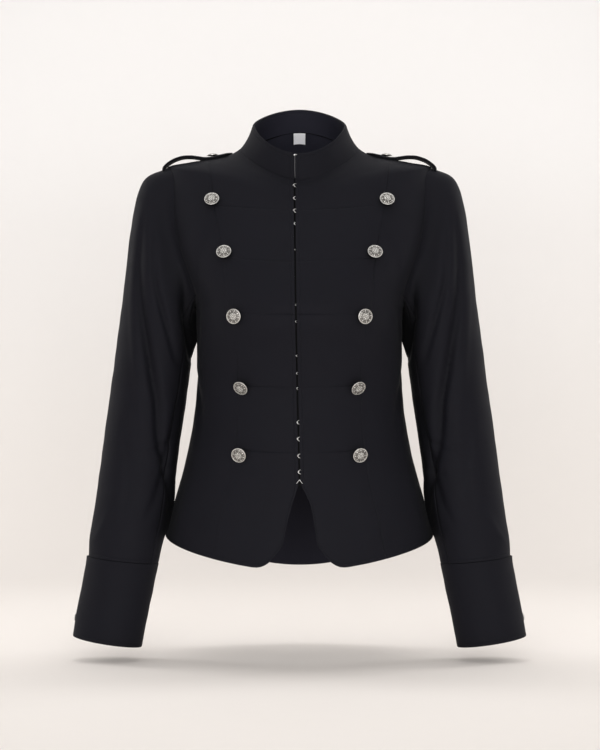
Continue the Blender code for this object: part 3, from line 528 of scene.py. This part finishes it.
def makeMetal(name, metal):
    look, shader = newLook(name, metal["bright"], 0.36, 1.0)
    add = functools.partial(addNode, look)
    stain = add("TexNoise", "Fac", {"Vector": add("TexCoord", "Object"), "Scale": 640, "Detail": 6})
    # tarnish gathers in the hollows of the relief
    hollow = add("Attribute", "Fac", attribute_name="hollow")
    faint = addRamp(look, stain, (0.42, 0.75), (0, metal["stain"]))
    gathered = add("Math", "Value", {0: hollow, 1: 0.9, 2: faint}, operation="MULTIPLY_ADD")
    colour = addMix(look, gathered, (*metal["bright"], 1), (*metal["dark"], 1))
    rough = addRamp(look, stain, (0, 1), metal["rough"])
    bump = add("Bump", "Normal", {"Height": stain, "Strength": 0.25, "Distance": 0.0001})
    setInputs(look, shader, {"Base Color": colour, "Roughness": rough, "Normal": bump})
    return look


satin = {"dark": (0.70, 0.70, 0.73), "light": (0.86, 0.86, 0.88), "period": 0.0004, "relief": 0.00006}


def makeSatin(name):
    look, shader = newLook(name, satin["light"], 0.45)
    cut = addNode(look, "UVMap", "UV", uv_map="cut")
    lines = addNode(look, "TexWave", "Fac", {"Vector": cut, "Scale": waveLength / satin["period"]}, bands_direction="Y")
    bump = addNode(look, "Bump", "Normal", {"Height": lines, "Strength": 0.4, "Distance": satin["relief"]})
    setInputs(look, shader, {"Base Color": addMix(look, lines, (*satin["dark"], 1), (*satin["light"], 1)),
                             "Normal": bump, "Sheen Weight": 0.2})
    return look


twillLook = makeTwill("blackTwill")
insidePaintedLightLook = makeTwill("twillInsidePaintedLight", sheetLook["reverse"])    # a paler copy of the cloth for its inside: painted light, standing for light that reaches the inside of the neck and the opening at the hem
# a near-black copy of the cloth for the hook placket: painted shade, so the gap between the fronts reads dark
placketShadeLook = makeTwill("paintedShadeTape", 0.12)
silverLook = makeMetal("oldSilver", silver)
satinLook = makeSatin("labelSatin")
print("materials made")

seamHalf = -0.06    # neighbouring panels just meet, and their rolled edges make the groove


def seamShift(up, turn):
    step = np.linalg.norm(bodyBase(up, turn + 0.5) - bodyBase(up, turn - 0.5), axis=-1)
    return seamHalf / step


def panelSheet(node, side, low, high, start, end, rolled, wall=None, out=0.0, shift=1.0, look=None):
    def place(share, across):
        ups = low(across) + (high(across) - low(across)) * share
        first, last = start(ups), end(ups)
        first, last = first + shift * seamShift(ups, first), last - shift * seamShift(ups, last)
        return ups, first + (last - first) * across

    middle = np.full(sheetLook["samples"], 0.5)
    rowShares = edgeShares(lambda s: bodyBase(*place(s, middle)), sheetLook["cell"])
    columnShares = edgeShares(lambda s: bodyBase(*place(middle, s)), sheetLook["cell"])
    ups, turns = place(*np.meshgrid(rowShares, columnShares, indexing="ij"))
    points, normals = bodyPoint(ups, side * turns, out), bodyNormal(ups, side * turns)
    makeSheet(f"cloth_{node}", node, points, normals, rolled, look or twillLook, wall)


def constant(value):
    return lambda across: np.full(np.shape(across), float(value))


def bandLine(height, rise, side):
    knots = np.linspace(0, 1, 40)

    def turnOf(up):
        first, last = closureTurn(up, side), princessTurn(up)
        return first + (last - first) * knots

    ups = upAt(height + rise * knots**2, turnOf)
    return lambda across: np.interp(across, knots, ups)


# the lower front corner is rounded up into the front edge
hem = {"rise": 24, "share": 0.42, "power": 2.6}


def frontHem(across):
    return hem["rise"] * np.clip(1 - across / hem["share"], 0, 1) ** hem["power"]


seam, free = 1.0, 0.62    # how strongly an edge rolls in: a seam's, and a finished one's

sides = ((1, "left"), (-1, "right"))
for side, word in sides:
    lines = [frontHem] + [bandLine(height, rise, side) for height, rise in bandSeams]
    lines.append(constant(levels["neck"]))
    for i, name in enumerate(("peplum", "midriff", "ribs", "bust", "chest", "yoke")):
        low = (lambda across, line=lines[i], gap=seamHalf * (i > 0): line(across) + gap)
        high = (lambda across, line=lines[i + 1]: line(across) - seamHalf)
        panelSheet(f"front_{name}_{word}", side, low, high,
                   lambda up, side=side: closureTurn(up, side), princessTurn,
                   (free, seam, free if i == 0 else seam, seam))
    panelSheet(f"front_side_{word}", side, constant(0), constant(levels["princessTop"]), princessTurn, sideTurn,
               (seam, seam, free, seam))
    panelSheet(f"back_side_{word}", side, constant(0), constant(levels["princessTop"]),
               lambda up: sideTurn(up, True), lambda up: princessTurn(up, True), (seam, seam, free, seam))
panelSheet("back_centre", 1, constant(0), constant(levels["neck"] - seamHalf), lambda up: princessTurn(up, True),
           lambda up: 360 - princessTurn(up, True), (seam, seam, free, seam))
print("body panels made")

collar = {"wall": 2.4}
placket = {"half": 11, "low": -437, "belowNeck": 6, "wall": 1.0, "out": -3.2}
label = {"half": 8.5, "low": 28.0, "belowNeck": 1, "wall": 0.6, "out": -2.95}


def placketTurn(way):
    return lambda up: turnAt(up, readTable(closureLine, up)[..., 0] + placket["half"] * way, -60.0, 60.0)


def labelTurn(up):
    return turnAt(up, label["half"], 180.0, 120.0)


panelSheet("collar", 1, constant(levels["neck"] + seamHalf), constant(levels["collarTop"]),
           lambda up: closureTurn(up, 1), lambda up: 360 - closureTurn(up, -1), (free, free, seam, free),
           collar["wall"])
# the placket is drawn in the near-black copy of the cloth, painted shade in the closure's gap
panelSheet("hook_placket", 1, constant(float(upAt(placket["low"], lambda up: 0.0 * up))),
           constant(levels["neck"] - placket["belowNeck"]), placketTurn(-1), placketTurn(1), (free, free, free, free),
           placket["wall"], placket["out"], shift=0, look=placketShadeLook)
panelSheet("size_label", 1, constant(float(upAt(label["low"], lambda up: 0 * up + 180.0))),
           constant(levels["neck"] - label["belowNeck"]), labelTurn, lambda up: 360 - labelTurn(up),
           (0.2, 0.2, 0.4, 0.2), label["wall"], label["out"], shift=0, look=satinLook)
print("collar, placket and label made")

sleeveCuts = {"upper": (36, 264), "under": (-96, 36)}
sleeveSeam = {"gap": 0.3, "tuckIn": 2.2, "tuckUnder": 2.4}
cuff = {"seam": 388, "end": 498, "step": 0.35, "first": 188, "lap": 26, "lift": 2.5, "liftFrom": 300, "liftOver": 50,
        "buttonDown": 474.0, "buttonAround": 200.0}


def tubeSheet(node, side, downs, arounds, rolled, lift=None):
    def between(ends, share):
        return ends[0] + (ends[1] - ends[0]) * share

    same = np.ones(sheetLook["samples"])
    shareDown = edgeShares(lambda s: sleeveBase(between(downs, s), 150.0 * same), sheetLook["sleeveCell"] * 1.3)
    shareAround = edgeShares(lambda s: sleeveFree(200.0 * same, between(arounds, s)), sheetLook["sleeveCell"])
    down, around = np.meshgrid(between(downs, shareDown), between(arounds, shareAround), indexing="ij")
    out = 0.0 if lift is None else lift(around)
    points, normals = sleevePoint(down, around, out, side)
    if lift is None:
        # the cap's seam allowance is turned in under the body's edge
        edge, inward, normal = sleeveStart(around[0])
        tucked = edge - inward * sleeveSeam["tuckIn"] - normal * sleeveSeam["tuckUnder"]
        points = np.concatenate([tucked[None], points])
        normals = np.concatenate([normal[None], normals])
    makeSheet(f"cloth_{node}", node, points, normals, rolled, twillLook, mirror=side)


def cuffLift(around):
    part = np.clip((around - cuff["first"] - cuff["liftFrom"]) / cuff["liftOver"], 0, 1)
    return cuff["step"] + cuff["lift"] * part**2


for side, word in sides:
    for name, (first, last) in sleeveCuts.items():
        tubeSheet(f"sleeve_{name}_{word}", side, (-capPull["long"], cuff["seam"]),
                  (first + sleeveSeam["gap"], last - sleeveSeam["gap"]), (seam, seam, seam, 0.9))
    tubeSheet(f"cuff_{word}", side, (cuff["seam"] + sleeveSeam["gap"], cuff["end"]),
              (cuff["first"], cuff["first"] + 360 + cuff["lap"]), (free, free, 0.1, free), cuffLift)
print("sleeves and cuffs made")

# distance from the middle, height over the cloth, half breadth, and how far the end leans out over the sleeve
strapRows = (
    (176.8, 0.8, 14.5, 6.5), (173.5, 3.4, 14.5, 4.6), (166, 6.8, 14.5, 2.0), (156, 8.1, 14.5, 0.5),
    (146, 6.6, 14.4, 0), (136, 3.6, 14.2, 0), (127, 1.3, 14.0, 0), (117, 0.5, 13.8, 0), (108, 1.3, 13.6, 0),
    (100, 1.4, 12.6, 0), (94, 0.2, 8.0, 0), (90.5, -1.4, 2.2, 0),
)
strap = {"wall": 2.9, "rows": 46, "columns": 17, "sink": 0.3, "flatter": 0.25, "up": (0, 0, 0.6),
         "leaning": (1, 0, -0.4), "buttonAt": 117}


def turnForOffset(up, off):
    target = bodyBase(up, 90.0)[..., 1] + off
    return search(lambda turn: bodyBase(up, turn)[..., 1] < target, np.full(up.shape, 40.0), np.full(up.shape, 140.0))


def strapPoints():
    rows = np.array(strapRows, float)
    walked = np.concatenate([[0], np.cumsum(np.abs(np.diff(rows[:, 0])) + 0.4 * np.abs(np.diff(rows[:, 1])))])
    table = tuple(map(tuple, np.column_stack([walked, rows])))
    places = np.concatenate([np.linspace(0, walked[-3], strap["rows"] - 8), np.linspace(walked[-3], walked[-1], 9)[1:]])
    x, clearance, half, lean = (column[:, None] for column in np.moveaxis(readTable(table, places), -1, 0))
    breadth = np.sin(np.linspace(-1, 1, strap["columns"]) * math.pi / 2)[None, :]
    x, off = np.broadcast_arrays(x, half * breadth)
    ups = search(lambda up: bodyBase(up, turnForOffset(up, off))[..., 0] > x,
                 np.full(x.shape, levels["shoulderTip"] - 60.0), np.full(x.shape, float(levels["neck"])))
    turns = turnForOffset(ups, off)
    surface, normal = bodyPoint(ups, turns), bodyNormal(ups, turns)
    highest = surface[..., 2].max(1, keepdims=True)
    flatter = np.clip((clearance - 0.8) / 1.5, 0, 1) * strap["flatter"]
    surface[..., 2] += flatter * (highest - surface[..., 2])
    way = unit(np.array(strap["up"]) + normal * 0.4)
    top = surface + way * (clearance - strap["sink"] + strap["wall"])[..., None]
    return top + lean[..., None] * np.array(strap["leaning"]), way


strapTop, strapWay = strapPoints()
for side, word in sides:
    makeSheet(f"cloth_shoulder_strap_{word}", f"shoulder_strap_{word}", strapTop, strapWay,
              (free, free, 0.3, free), twillLook, strap["wall"], mirror=side)
print("shoulder straps made")

# sizes in millimetres; heights from the button's underside
button = {"across": 19.8, "small": 15.0, "plate": 3.95, "smallPlate": 1.25, "rim": 0.75, "edge": 0.28, "dome": 2.0,
          "domeIn": 1.3, "ring": 0.24, "knob": 1.15, "petals": 8, "beads": 36, "bead": 0.4, "beadIn": 1.35}
# petals round the middle and leaves between them: share of the radius, size, and steps round
petalRows = ((0.31, (1.75, 0.85, 0.75), 0.0), (0.47, (0.85, 0.6, 0.6), 0.5), (0.72, (1.1, 0.9, 0.7), 0.5),
             (0.74, (0.6, 0.48, 0.6), 0.0))


def buttonMaster():
    m = millimetre
    r = button["across"] / 2
    top = button["plate"] + button["rim"]
    domeRadius = r - button["domeIn"]
    pieces = []

    def keep(scale=(1, 1, 1)):
        bpy.context.object.scale = scale
        pieces.append(bpy.context.object)

    def addRing(radius, thick, high, steps, sideSteps):
        bpy.ops.mesh.primitive_torus_add(major_radius=radius * m, minor_radius=thick * m, major_segments=steps,
                                         minor_segments=sideSteps, location=(0, 0, high * m))
        keep()

    def addBall(radius, x, y, high, scale, steps, rings, rotation=(0, 0, 0)):
        bpy.ops.mesh.primitive_uv_sphere_add(segments=steps, ring_count=rings, radius=radius * m,
                                             location=(x * m, y * m, high * m), rotation=rotation)
        keep(scale)

    bpy.ops.object.select_all(action="DESELECT")
    bpy.ops.mesh.primitive_cylinder_add(vertices=72, radius=(r - 0.15) * m, depth=1.0 * m,
                                        location=(0, 0, (button["plate"] + 0.45) * m))
    bpy.ops.object.mode_set(mode="EDIT")
    bpy.ops.mesh.select_all(action="SELECT")
    bpy.ops.mesh.bevel(offset=0.38 * m, segments=3)
    bpy.ops.object.mode_set(mode="OBJECT")
    keep()
    addRing(r - button["edge"] - 0.1, button["edge"], top + 0.1, 80, 10)
    addBall(domeRadius, 0, 0, top, (1, 1, button["dome"] / domeRadius), 56, 28)
    addRing(r * 0.60, button["ring"], top + 1.33, 64, 8)
    bpy.ops.mesh.primitive_cylinder_add(vertices=24, radius=r * 0.22 * m, depth=(button["plate"] + 0.3) * m,
                                        location=(0, 0, (button["plate"] + 0.3) * m / 2))
    keep()
    for i in range(button["petals"]):
        for far, size, shift in petalRows:
            angle = 2 * math.pi * (i + shift) / button["petals"]
            high = button["dome"] * math.sqrt(1 - (far * r / domeRadius) ** 2)
            addBall(1, r * far * math.cos(angle), r * far * math.sin(angle), top + high, size, 16, 10,
                    (0, math.radians(22 * far / 0.75), angle))
    addBall(button["knob"], 0, 0, top + button["dome"] + 0.05, (1, 1, 0.6), 20, 12)
    for i in range(button["beads"]):
        angle, out = 2 * math.pi * i / button["beads"], r - button["beadIn"]
        addBall(button["bead"], out * math.cos(angle), out * math.sin(angle), top + 0.12, (1, 1, 1), 8, 6)
    selectOnly(*pieces)
    bpy.ops.object.join()
    master = bpy.context.object
    master.name = "buttonMaster"
    bpy.ops.object.transform_apply(location=True, rotation=True, scale=True)
    # points near the dome's own surface lie in the hollows
    places = np.empty(len(master.data.vertices) * 3, np.float32)
    master.data.vertices.foreach_get("co", places)
    places = places.reshape(-1, 3) / m
    spread = np.hypot(places[:, 0], places[:, 1])
    dome = top + button["dome"] * np.sqrt(np.clip(1 - (spread / domeRadius) ** 2, 0, 1))
    hollow = np.clip(1.25 - (places[:, 2] - dome) / 0.42, 0, 1) * (spread < r - 0.6)
    mark = master.data.attributes.new("hollow", "FLOAT", "POINT")
    mark.data.foreach_set("value", hollow.astype(np.float32))
    master.data.materials.append(silverLook)
    bpy.ops.object.shade_smooth_by_angle(angle=math.radians(45))
    return master


# distance from the middle, height, and how far the face is tipped down and aside, in degrees
frontButtons = ((114.7, -65.6, -11, -8), (97.4, -136.8, -16, -11), (82.9, -218.5, 3, -10), (74.3, -309.0, 25, 3),
                (76.8, -397.0, 29, -4))
master = buttonMaster()


def placeButton(node, point, normal, droop=0.0, aside=0.0, clear=0.3, small=False, spin=0.0):
    normal = Vector(normal).normalized()
    level = Vector((0, 0, 1)).cross(normal).normalized()
    tipped = Matrix.Rotation(math.radians(droop), 3, level) @ normal
    tipped = Matrix.Rotation(math.radians(aside), 3, Vector((0, 0, 1))) @ tipped
    turned = tipped.to_track_quat("Z", "Y").to_matrix().to_4x4() @ Matrix.Rotation(spin, 4, "Z")
    size = button["small"] / button["across"] if small else 1.0
    lift = clear + 2.0 * math.sin(math.radians(math.hypot(droop, aside)))
    lift -= button["plate"] * size - button["smallPlate"] if small else 0
    where = Matrix.Translation((Vector(point) + normal * lift) * millimetre)
    mesh = master.data.copy()
    mesh.transform(where @ turned @ Matrix.Scale(size, 4))
    piece = addObject(f"metal_{node}", mesh)
    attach(piece, "root")
    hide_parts(node)


for side, word in sides:
    mirror = np.array([side, 1, 1])
    for row, (x, z, droop, aside) in enumerate(frontButtons, 1):
        up = upAt(z, lambda u, x=x: turnAt(u, x))
        turn = turnAt(up, x)
        placeButton(f"button_{row}_{word}", bodyPoint(up, turn) * mirror, bodyNormal(up, turn) * mirror, droop,
                    aside * side, 0.45, spin=0.37 * row + 0.2 * side)
    middle = strap["columns"] // 2
    seat = np.argmin(np.abs(strapTop[:, middle, 0] - strap["buttonAt"]))
    placeButton(f"button_strap_{word}", strapTop[seat, middle] * mirror, strapWay[seat, middle] * mirror, clear=0.1,
                small=True, spin=0.5)
    outer, normal = sleevePoint(cuff["buttonDown"], cuff["buttonAround"], cuff["step"] + cuff["lift"], side)
    placeButton(f"button_cuff_{word}", outer * mirror, normal * mirror, small=True)
bpy.data.objects.remove(master)
print("buttons made")

# height of each pair, and how far it shows between the edges: below 0 it lies under the front's edge
hookRows = (
    (-44.2, 1.0), (-61.6, 1.0), (-78.9, 1.0), (-96.0, 0.6), (-113.5, -0.2), (-130.6, 0.12), (-148.4, -0.3),
    (-166.9, -0.2), (-185.3, -0.3), (-204.0, 0.1), (-226.0, 0.25), (-240.5, -0.3), (-255.5, -0.3), (-270.3, 0.2),
    (-292.5, 0.3), (-312.0, 0.45), (-333.5, -0.3), (-355.3, 0.9), (-376.8, 1.0), (-398.5, 1.0), (-419.0, 1.0),
)
# thread is the thickness of the pale cord down the collar's front edge, a painted highlight
hook = {"wire": 0.36, "half": 1.9, "tall": 2.7, "sink": 3.4, "tuck": 9.0, "thread": 0.22}
# sideways, up and out from the closure: the open eye below it, and the hook at the collar's top
openEye = ((-3.9, -2.9, 0.2), (-2.0, -0.4, 0.7), (-0.6, 1.5, 0.8), (0.6, 1.5, 0.8), (2.0, -0.4, 0.7), (3.9, -2.9, 0.2))
topHook = ((2.6, 0.5, 0.3), (0.4, 0.6, 0.9), (-1.4, 0.5, 0.9), (-1.4, -0.6, 0.9), (0.4, -0.6, 0.9))


def closureTurnMiddle(up):
    return turnAt(up, readTable(closureLine, up)[..., 0], -60.0, 60.0)


def wirePiece(name, paths, thickness, look):
    curve = bpy.data.curves.new(name, "CURVE")
    curve.dimensions = "3D"
    curve.bevel_depth = thickness * millimetre
    curve.bevel_resolution = 3
    curve.use_fill_caps = True
    for path in paths:
        line = curve.splines.new("NURBS")
        line.points.add(len(path) - 1)
        for point, place in zip(line.points, path):
            point.co = (*(np.asarray(place) * millimetre), 1)
        line.order_u = 3
        line.use_endpoint_u = True
        line.resolution_u = 4
    selectOnly(addObject(name, curve))
    bpy.ops.object.convert(target="MESH")
    made = bpy.context.object
    made.data.materials.append(look)
    made.data.shade_smooth()
    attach(made, "root")


hookLook = makeMetal("hookSteel", steel)
# a pale look for the collar's cord: painted highlight
highlightCordLook = newLook("paleCordHighlight", (0.20, 0.20, 0.21), 0.6)[0]
hookPaths, eyePaths = [], []
for i, (height, shown) in enumerate(hookRows):
    up = float(upAt(height, closureTurnMiddle))
    turn = closureTurnMiddle(up)
    centre, outward = bodyPoint(up, turn), bodyNormal(up, turn)
    upward = unit(bodyBase(up + 1, turn) - bodyBase(up - 1, turn))
    sideways = unit(np.cross(upward, outward))
    lean = 0.16 * math.sin(i * 2.3)
    aside, shown = hook["tuck"] * max(-shown, 0.0), max(shown, 0.0)
    sink = -hook["sink"] * (1 - shown)
    half, tall = hook["half"] * (0.35 + 0.65 * shown), hook["tall"] * (0.3 + 0.7 * shown)

    def spot(x, y, z):
        return centre + sideways * (x - aside) + upward * (y + lean * x) + outward * (z + sink)

    # the eye's loop stands out past its own edge, and the hook's bill comes over it from the other front
    eye = [(half + 0.8, tall * 0.95, -1.6), (half * 0.75, tall, 0.1), (0.1, tall * 0.82, 0.5),
           (-half * 0.8, tall * 0.3, 0.6)]
    bill = [(-half - 0.6, 0.42, -1.5), (-half * 1.05, 0.4, 0.7), (-half * 0.5, 0.36, 1.25), (-half * 0.1, 0.3, 0.2)]
    for paths, upper in ((eyePaths, eye), (hookPaths, bill)):
        paths.append([spot(*place) for place in upper] + [spot(x, -y, z) for x, y, z in reversed(upper)])
# the last eye, below the closure, hangs open and shows as a peak
up = float(upAt(-431.0, closureTurnMiddle))
turn = closureTurnMiddle(up)
centre, outward = bodyPoint(up, turn), bodyNormal(up, turn)
eyePaths.append([centre + np.array([x, 0, z]) + outward * y for x, z, y in openEye])
# one more hook closes the collar's top, and below it a pale cord down the front edge is a painted highlight along that
# edge
up = levels["collarTop"] - 3.0
centre, outward = bodyPoint(up, closureTurn(up, 1)), bodyNormal(up, closureTurn(up, 1))
hookPaths.append([centre + np.array([x, 0, z]) + outward * y for x, z, y in topHook])
ups = np.linspace(levels["neck"] + 4.0, levels["collarTop"] - 1.0, 14)
cord = [bodyPoint(up, closureTurn(up, 1) - 0.12) + bodyNormal(up, closureTurn(up, 1)) * 0.25 for up in ups]
wirePiece("eyes", eyePaths, hook["wire"] * 0.82, hookLook)
wirePiece("hooks", hookPaths, hook["wire"] * 0.8, hookLook)
wirePiece("collar_highlight_cord", [cord], hook["thread"], highlightCordLook)
print("hooks and eyes made")

# the paper is painted a little darker out at its sides, painted shade, and paler under the jacket, painted light
studio = {"floor": -0.672, "wall": 1.6, "bend": 0.7, "half": 4.2, "corner": 1.9, "front": -6.5, "top": 3.2,
          "colour": (0.85, 0.835, 0.825), "low": (0.73, 0.69, 0.655), "edge": 0.85, "paintedLightUnder": 1.22, "grain": 0.012,
          "world": (1.0, 0.985, 0.975), "strength": 0.60}
# name, place, target, size and power
lights = (
    ("frontLight", (-0.25, -3.0, 0.1), (0, 0, -0.3), (1.5, 1.2), 40),
    ("fillLight", (0.8, -2.9, -0.1), (0, 0, -0.3), (1.0, 1.0), 12),
    ("leftRim", (-1.7, 0.7, 0.45), (0, 0, -0.2), (0.5, 1.2), 10),
    ("rightRim", (1.7, 0.7, 0.45), (0, 0, -0.2), (0.5, 1.2), 10),
    ("topLight", (0, 0.05, 1.9), (0, 0.05, -0.3), (1.8, 1.2), 6),
    ("wallLight", (0, 0.8, 2.5), (0, 1.6, -0.1), (3.0, 0.6), 15),
)


def paperLook():
    look, shader = newLook("palePaper", studio["colour"], 0.9)
    add = functools.partial(addNode, look)
    place = add("TexCoord", "Object")
    far = add("VectorMath", "Value", {0: place}, operation="LENGTH")
    # warmer towards the floor; painted shade makes it a little darker out to the sides, and painted light makes it
    # palest under the jacket, where the jacket's shadow falls
    warm = addRamp(look, add("SeparateXYZ", "Z", {"Vector": place}), (0.35, -0.66), (0, 1), "SMOOTHSTEP")
    tone = addMix(look, warm, (*studio["colour"], 1), (*studio["low"], 1))
    paintedSideShade = addRamp(look, far, (1.65, 2.2), (1, studio["edge"]), "SMOOTHSTEP")
    paintedLightUnder = addRamp(look, far, (1.35, 0.66), (1, studio["paintedLightUnder"]), "SMOOTHSTEP")
    grain = add("TexNoise", "Fac", {"Vector": place, "Scale": 40})
    paper = add("Math", "Value", {0: grain, 1: studio["grain"], 2: paintedSideShade}, operation="MULTIPLY_ADD")
    strength = add("Math", "Value", {0: paper, 1: paintedLightUnder}, operation="MULTIPLY")
    shade = add("VectorMath", "Vector", {0: tone, "Scale": strength}, operation="SCALE")
    setInputs(look, shader, {"Base Color": shade, "Specular IOR Level": 0.1})
    # seen from behind, the paper lets the eye through
    chosen = add("MixShader", "Shader", {"Fac": add("NewGeometry", "Backfacing"), 1: shader.outputs["BSDF"],
                                         2: add("BsdfTransparent", "BSDF")})
    setInputs(look, look.node_tree.nodes["Material Output"], {"Surface": chosen})
    return look


def makeStage():
    # the backdrop's foot, seen from above, is a long U round the back, and its sides curve up
    half, back, corner = studio["half"], studio["wall"], studio["corner"]
    foot = [(-half, studio["front"], -1, 0)]
    for turn in np.linspace(0, math.pi / 2, 13):
        foot.append((-half + corner * (1 - math.cos(turn)), back - corner * (1 - math.sin(turn)),
                     -math.cos(turn), math.sin(turn)))
    foot += [(-x, y, -outX, outY) for x, y, outX, outY in reversed(foot)]
    rise = [(studio["bend"] * (1 - math.cos(a)), studio["bend"] * (math.sin(a) - 1))
            for a in np.linspace(0, math.pi / 2, 25)]
    rise = [(0.0, -studio["bend"] - 0.25)] + rise + [(studio["top"] - studio["floor"], 0.0)]
    form = bmesh.new()
    rings = [[form.verts.new((x + outX * off, y + outY * off, studio["floor"] + high)) for x, y, outX, outY in foot]
             for high, off in rise]
    for lower, upper in zip(rings, rings[1:]):
        for i in range(len(foot) - 1):
            form.faces.new((lower[i], lower[i + 1], upper[i + 1], upper[i]))
    form.faces.new(rings[0][::-1])
    mesh = bpy.data.meshes.new("backdrop")
    form.to_mesh(mesh)
    form.free()
    mesh.shade_smooth()
    mesh.materials.append(paperLook())
    addObject("backdrop", mesh)


def softLight(name, place, target, size, power):
    bpy.ops.object.select_all(action="DESELECT")
    bpy.ops.object.light_add(type="AREA", location=place)
    light = bpy.context.object
    light.name = name
    light.data.shape = "RECTANGLE"
    light.data.size, light.data.size_y = size
    light.data.energy = power
    light.rotation_euler = (Vector(target) - Vector(place)).to_track_quat("-Z", "Y").to_euler()


makeStage()
for row in lights:
    softLight(*row)
world = bpy.data.worlds.new("studioWorld")
bpy.context.scene.world = world
world.use_nodes = True
setInputs(world, world.node_tree.nodes["Background"], {"Color": (*studio["world"], 1), "Strength": studio["strength"]})
bpy.context.scene.view_settings.view_transform = "Standard"
print("stage and lights made")
